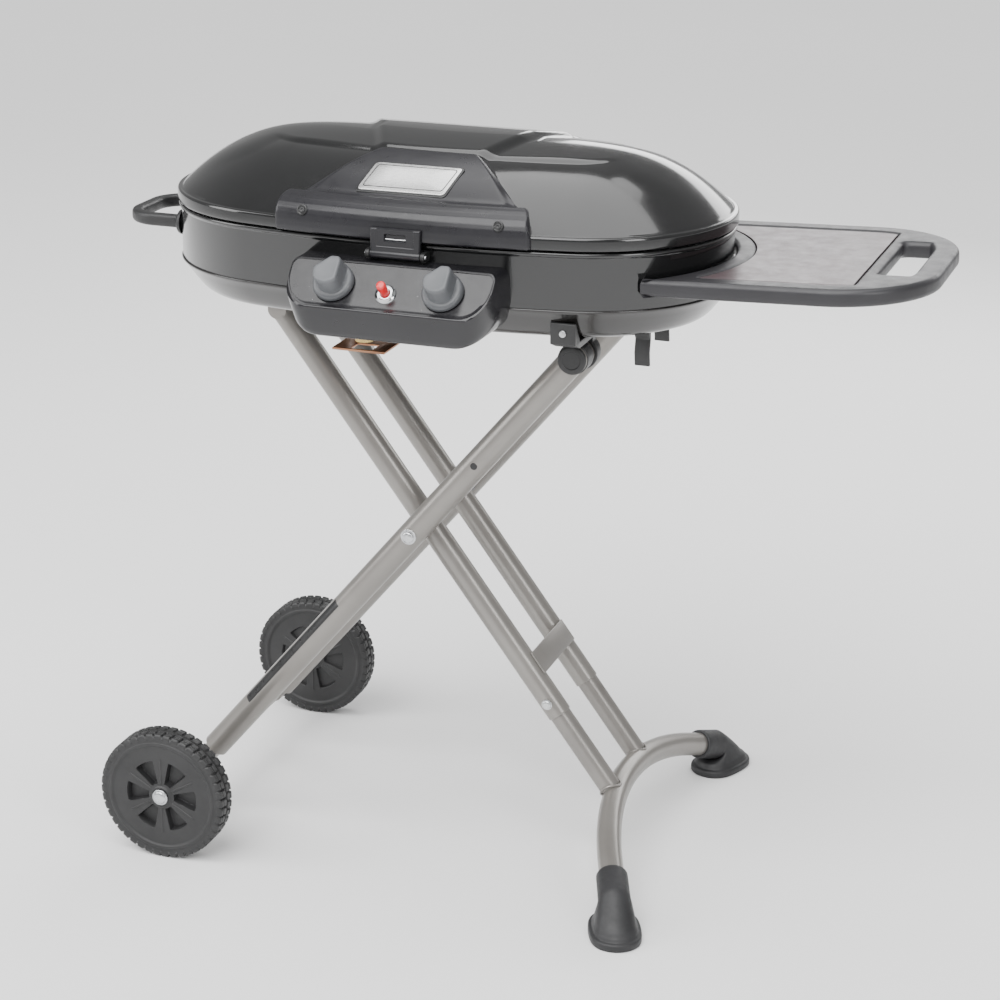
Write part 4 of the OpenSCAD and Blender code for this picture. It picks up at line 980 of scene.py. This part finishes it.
make("scissor_washers", *join(parts), "wheel_frame", BLACK, ["scissor_spacers"], "black_plastic")
parts = on_both_sides([(0, 16.2), (0.8, 17), (3.2, 17), (4.4, 16.2), (5.0, 14.6), (5.0, 11), (4.2, 10.2),
                       (4.2, 0.6)], TOP[0], LEG_Y + 16, TOP[1], 64)
parts += on_both_sides([(-24, 17.2), (-23, 18.2), (-3.2, 18.2), (-2.4, 17.4), (-2.2, 17.0)],
                       TOP[0], LEG_Y + 16, TOP[1], 64, False)
make("pivot_cap_discs", *join(parts), "wheel_frame", BLACK, ["top_pivot_caps"], "black_plastic", sharp=40)

WHEEL_W, AXLE_HALF, WHEEL_R = 33.0, 252.0, 82.0
make("axle_sleeve", *turned([(0, 5.4), (0.3, 9.0), (1.0, 9.5), (434, 9.5), (434.7, 9.0), (435, 5.4)],
                            (AXLE[0], -217.5, AXLE[1]), (0, 1, 0), 56), "wheel_frame", TUBE, ["axle_tube"], "grey_tube")
make("axle_bar", *turned([(0, 4.0), (0.8, 5), (505, 5), (506, 4)], (AXLE[0], -253, AXLE[1]), (0, 1, 0), 40),
     "wheel_frame", ZINC, ["axle_rod"], "bright_steel")
parts = on_both_sides([(0.3, 9.4), (0.6, 10), (2.0, 10), (2.6, 9.4), (2.8, 8.2), (3.6, 7.8), (4.4, 6.8),
                       (4.9, 4.8), (5.0, 2.4), (5.0, 0.5)], AXLE[0], AXLE_HALF, AXLE[1], 56)
make("push_nuts", *join(parts), "wheel_frame", ZINC, ["axle_caps"], "bright_steel", sharp=36)


def wheel_mesh(s):
    """A moulded wheel: polar grid from the bore across the outer face, the tread and the inner face."""
    n = 600
    theta = np.linspace(0, 2 * math.pi, n, endpoint=False)
    half = WHEEL_W / 2

    def pocket(r, inner, outer):
        """How deep in a pocket a point of the face is, 0 to 1."""
        six = (theta / (2 * math.pi) * 6 + 0.5) % 1 - 0.5
        arc_half = np.where(r > 0, 0.5 * (r * 0.62 - 3.0), 0)
        across = arc_half - np.abs(six) * (2 * math.pi / 6) * r
        return smooth(across / 1.8 + 0.5) * smooth((r - inner) / 1.8 + 0.5) * smooth((outer - r) / 1.8 + 0.5)

    def face(side, deep):
        radii = np.concatenate([np.linspace(5.05, 9.5, 4), np.linspace(11, 14, 5), np.linspace(15, 24, 11),
                                np.linspace(25, 42, 12), np.linspace(43, 49, 9), np.linspace(50, 62, 6),
                                np.linspace(63, 74.5, 16)])
        out = []
        for r in radii:
            p = pocket(r, 17.5, 45.5)
            y = np.full(n, half - 1.6)
            # hub boss, web and the raised rim outside it
            y += 1.6 * smooth(np.array((13.6 - r) / 1.4))
            y -= 0.9 * smooth(np.array((r - 14) / 1.5)) * smooth(np.array((66 - r) / 1.6))
            y += 1.1 * smooth(np.array((r - 66) / 1.6)) * smooth(np.array((71.5 - r) / 1.5))
            y -= deep * p
            # thin ribs between the pockets
            six = (theta / (2 * math.pi) * 6) % 1 - 0.5
            rib = smooth((1.5 - np.abs(six) * (2 * math.pi / 6) * r) / 0.8) * smooth(np.array((r - 15) / 2))
            y += 0.9 * rib * smooth(np.array((50 - r) / 3))
            out.append(np.stack([r * np.cos(theta), side * y, r * np.sin(theta)], 1))
        return out

    outer_face = face(s, 9.0)
    inner_face = face(-s, 5.0)
    tread = []
    across = np.linspace(-1, 1, 41)
    for a in across:
        y = -s * a * (half - 0.35)
        edge = max(0.0, (abs(a) - 0.80) / 0.20)
        base = WHEEL_R - 4.6 * edge ** 2.2
        blocks = 44
        lane = 0.5 if a > 0 else 0.0
        slant = 0.22 * abs(a) * (1 if a > 0 else -1)
        phase = (theta / (2 * math.pi) * blocks + lane + slant) % 1
        gap = smooth((0.14 - np.abs(phase - 0.5)) / 0.055)
        reach = smooth(np.array((abs(a) - 0.10) / 0.06))
        groove = gap * reach
        centre = smooth(np.array((0.085 - abs(abs(a) - 0.02)) / 0.03))
        ringed = smooth(np.array((0.05 - abs(abs(a) - 0.56)) / 0.025)) * 0.7
        deep = 2.6 * np.maximum(np.maximum(groove, float(centre)), float(ringed))
        r = base - deep * (1 - 0.25 * edge)
        tread.append(np.stack([r * np.cos(theta), np.full(n, y), r * np.sin(theta)], 1))
    rings = outer_face + tread + inner_face[::-1]
    points, faces = loft(rings, False, False)
    last = (len(rings) - 1) * n
    faces += [(last + i, last + (i + 1) % n, (i + 1) % n, i) for i in range(n)]
    return np.array(points), faces


for s, name in ((-1, "front"), (1, "rear")):
    points, faces = wheel_mesh(s)
    points = points + np.array([AXLE[0], s * (AXLE_HALF - WHEEL_W / 2), AXLE[1]])
    make("moulded_wheel_" + name, points, faces, name + "_wheel", WHEEL, ["wheel_" + name], "wheel_black", sharp=55)

# ---- foot frame ----
COLLAR, ARCH_S, ARCH_R, ARCH_END = 288.0, 405.5, 371.0, 238.0
ARCH_A, ARCH_TILT = math.radians(28.6), math.radians(47.5)
SAG = np.array([math.sin(ARCH_TILT), 0, -math.cos(ARCH_TILT)])
for s, name in ((-1, "front"), (1, "rear")):
    y = s * FOOT_Y
    parts = [tube_between(on_b(-ARM_LEN + 1, y), on_b(COLLAR, y), FOOT_R)]
    make("upper_leg_tube_" + name, *join(parts), "foot_frame", TUBE, ["upper_leg_" + name], "grey_tube", sharp=42)
    make("lower_leg_tube_" + name, *turned([(0, 13.4), (152 - 8, 13.4)], on_b(COLLAR - 34, y), (FOOT[0], 0, FOOT[1]), 64),
         "foot_frame", TUBE_IN, ["lower_leg_" + name], "grey_tube")
make("top_cross_tube", *turned([(0, 9), (0.6, 12), (141, 12), (141.6, 9)], on_b(-ARM_LEN, -70.8), (0, 1, 0), 48),
     "foot_frame", TUBE, ["top_crossbar"], "grey_tube")
head = on_b(COLLAR - 20, FOOT_Y + FOOT_R)
parts = on_both_sides([(-0.2, 6.6), (0.8, 6.6), (1.1, 5.6), (2.4, 5.4), (3.2, 4.4), (3.5, 2.6), (3.5, 0.5)],
                      *head, 40)
make("leg_bolt_heads", *join(parts), "foot_frame", ZINC, ["leg_bolts"], "bright_steel", sharp=40)

# the bent foot bar
phi = np.linspace(-ARCH_A, ARCH_A, 90)
centre = on_b(ARCH_S, 0)
curve_part = centre + np.outer(ARCH_R * (1 - np.cos(phi)), SAG) + np.outer(ARCH_R * np.sin(phi), [0, 1, 0])
end_dir = SAG * math.sin(ARCH_A) + np.array([0, 1, 0]) * math.cos(ARCH_A)
run = (ARCH_END - ARCH_R * math.sin(ARCH_A)) / math.cos(ARCH_A)
steps = np.linspace(0.08, 1, 10)[:, None] * run
right = curve_part[-1] + steps * end_dir
mirror = np.array([1, -1, 1])
left = (right * mirror)[::-1]
make("foot_bar", *swept(np.concatenate([left, curve_part, right]), round_section(15, 64)), "foot_frame", TUBE,
     ["foot_arch"], "grey_tube")
# weld beads where the lower legs meet the bar
parts = []
for s in (-1, 1):
    beads = []
    meet = on_b(ARCH_S + 1.0, s * FOOT_Y)
    for a in np.linspace(0, 2 * math.pi, 120, endpoint=False):
        u, v, w = axes_for((FOOT[0], 0, FOOT[1]))
        rim = u * math.cos(a) + v * math.sin(a)
        # distance along the leg where it enters the bar
        across = abs(math.sin(a)) if abs(v[1]) > abs(u[1]) else abs(math.cos(a))
        drop = math.sqrt(max(15.0 ** 2 - (13.4 * (1 - across ** 2) ** 0.5) ** 2, 1.0))
        beads.append(meet + rim * 14.0 - w * (drop - 2.0))
    beads = np.array(beads + beads[:1])
    parts.append(swept(beads, round_section(1.5, 10)))
make("foot_welds", *join(parts), "foot_frame", TUBE_IN, [], "grey_tube")


def foot_mesh(s):
    """A rubber boot: a long round pad in two tiers that swells up into a sleeve round the bar."""
    drop = ARCH_R * (1 - math.cos(ARCH_A)) + (ARCH_END - ARCH_R * math.sin(ARCH_A)) * math.tan(ARCH_A)
    tip = centre + SAG * drop
    tip = tip + np.array([0, s * ARCH_END, 0])
    bar = np.array([end_dir[0], s * end_dir[1], end_dir[2]])
    lean = math.atan2(bar[0], abs(bar[1]))
    along = np.array([math.sin(lean), s * math.cos(lean), 0])
    side = np.array([math.cos(lean), -s * math.sin(lean), 0])
    pad = np.array([tip[0] + 3, tip[1] + s * 8, 0])
    n = 96
    a = np.linspace(0, 2 * math.pi, n, endpoint=False)

    def stadium(r, stretch, z, shift=0.0):
        q = np.array([pad + along * shift] * n)
        q = q + np.outer(r * np.cos(a), side) + np.outer(r * np.sin(a) + stretch * np.tanh(3.2 * np.sin(a)), along)
        q[:, 2] = z
        return q
    rings = [stadium(20, 12, 0.9), stadium(27.5, 13, 0.9), stadium(28.5, 13.6, 0), stadium(30.2, 14, 0), stadium(31, 14, 0.9),
             stadium(31, 14, 6.5), stadium(30.4, 14, 8.2), stadium(29.2, 13.8, 9.2), stadium(27.6, 13.4, 9.6),
             stadium(26.8, 13.2, 10.4), stadium(26.4, 13, 12.5), stadium(25.4, 12.4, 14.6)]
    # blend from the top tier to the tilted sleeve
    top = stadium(24.6, 11.2, 16.2, -1.5)
    up = -bar
    ux = side - up * np.dot(side, up)
    ux /= np.linalg.norm(ux)
    uy = np.cross(ux, up)
    if np.dot(uy, along) < 0:
        uy = -uy

    def sleeve(distance, r):
        c = tip + up * distance
        return c + np.outer(r * np.cos(a), ux) + np.outer(r * np.sin(a), uy)
    low = sleeve(6.0, 19.4)
    for e in np.linspace(0, 1, 12):
        bulge = (1 - e) ** 2 * top + 2 * e * (1 - e) * (0.5 * top + 0.5 * low + np.array([0, 0, 3.5])) + e ** 2 * low
        rings.append(bulge)
    for distance, r in ((10, 19.3), (20, 19.1), (32, 19.0), (42, 18.9), (44.6, 18.7), (45.8, 18.1), (46.2, 17.2),
                        (45.9, 15.1)):
        rings.append(sleeve(distance, r))
    return loft(rings, True, False)


for s, name in ((-1, "front"), (1, "rear")):
    make("rubber_boot_" + name, *foot_mesh(s), "foot_frame", RUBBER, ["foot_" + name], "black_rubber", sharp=60)

# ---- shapes that only need soft edges
for node_name, body, material, slot_name, width in (
        ("regulator_bracket", "grill_body", COPPER, "bright_steel", 0.5),
        ("latch_bracket", "grill_body", BLACK, "black_plastic", 0.6),
        ("table_brackets", "grill_body", STEEL, "bright_steel", 0.4),
        ("frame_screws", "grill_body", ZINC, "bright_steel", 0.6),
        ("pivot_bracket_front", "grill_body", BLACK, "black_plastic", 1.2),
        ("pivot_bracket_rear", "grill_body", BLACK, "black_plastic", 1.2),
        ("leg_catches", "grill_body", BLACK, "black_plastic", 0.9),
        ("crossbar_rest", "grill_body", STEEL, "bright_steel", 0.4),
        ("hinge_brackets", "grill_body", STEEL, "bright_steel", 0.5),
        ("hinge_pins", "grill_body", ZINC, "bright_steel", 0.4),
        ("lid_hinges", "lid", STEEL, "bright_steel", 0.5),
        ("brace_plate", "foot_frame", TUBE_IN, "grey_tube", 0.6),
        ("top_pivot_pins", "wheel_frame", ZINC, "bright_steel", 0.5)):
    copy_of(node_name, node_name + "_soft", body, material, slot_name, width)

# ---- floor, lights, camera
world = bpy.data.worlds.new("studio")
bpy.context.scene.world = world
world.use_nodes = True
background = world.node_tree.nodes["Background"]
background.inputs["Color"].default_value = (1, 1, 1, 1)
background.inputs["Strength"].default_value = 0.42

floor_mesh = bpy.data.meshes.new("floor")
FLOOR_HALF, FLOOR_Z = 30, -0.0006
floor_mesh.from_pydata([(x * FLOOR_HALF, y * FLOOR_HALF, FLOOR_Z) for x, y in ((-1, -1), (1, -1), (1, 1), (-1, 1))],
                       [], [(0, 1, 2, 3)])
floor = bpy.data.objects.new("floor", floor_mesh)
bpy.context.scene.collection.objects.link(floor)
paper = Nodes("pale floor")
paper_noise = paper.noise(0.6, 2.0, 0.4)
paper_tint = paper.colours(paper_noise, "Fac", [(0.3, (0.86, 0.86, 0.86)), (0.7, (0.88, 0.88, 0.88))])
paper.link(paper_tint, "Color", paper.shader, "Base Color")
paper.shader.inputs["Roughness"].default_value = 0.9
floor_mesh.materials.append(paper.material)


AIM = (-0.05, 0, 0.5)
sky = bpy.data.lights.new("high even light", "SUN")
sky.energy = 3.6
sky.angle = math.radians(50)
sky_object = bpy.data.objects.new("high even light", sky)
bpy.context.scene.collection.objects.link(sky_object)
sky_object.rotation_euler = (math.radians(34), math.radians(-6), 0)
for name, place, width, height, power in (
        ("overhead", (0.1, 0.3, 3.2), 2.6, 1.6, 45), ("left window", (-2.8, -1.4, 1.9), 1.6, 2.2, 60),
        ("right strip", (2.6, -1.9, 2.0), 0.9, 2.0, 38), ("front fill", (0.2, -3.6, 2.6), 2.4, 1.2, 30),
        ("back rim", (0.4, 2.8, 1.6), 2.6, 0.8, 35)):
    light = bpy.data.lights.new(name, "AREA")
    light.shape = "RECTANGLE"
    light.size, light.size_y, light.energy = width, height, power
    softbox = bpy.data.objects.new(name, light)
    bpy.context.scene.collection.objects.link(softbox)
    softbox.location = place
    softbox.rotation_euler = (Vector(AIM) - Vector(place)).to_track_quat("-Z", "Y").to_euler()

camera_data = bpy.data.cameras.new("camera")
camera_data.sensor_width = 36
camera_data.lens = 91.37
camera_data.shift_x = 0.0070
camera_data.shift_y = -0.0093
camera_data.clip_end = 100
camera = bpy.data.objects.new("camera", camera_data)
bpy.context.scene.collection.objects.link(camera)
look = np.array([-0.3098644, 0.8941805, -0.3231490])
right_axis = np.array([0.9439272, 0.3300527, 0.0081612])
up_axis = np.array([-0.1139538, 0.3025003, 0.9463129])
matrix = Matrix([[right_axis[i], up_axis[i], -look[i], 0] for i in range(3)] + [[0, 0, 0, 1]])
matrix.translation = Vector(((1016 + SHIFT) / 1000, -2.782, 1.444))
camera.matrix_world = matrix
bpy.context.scene.camera = camera
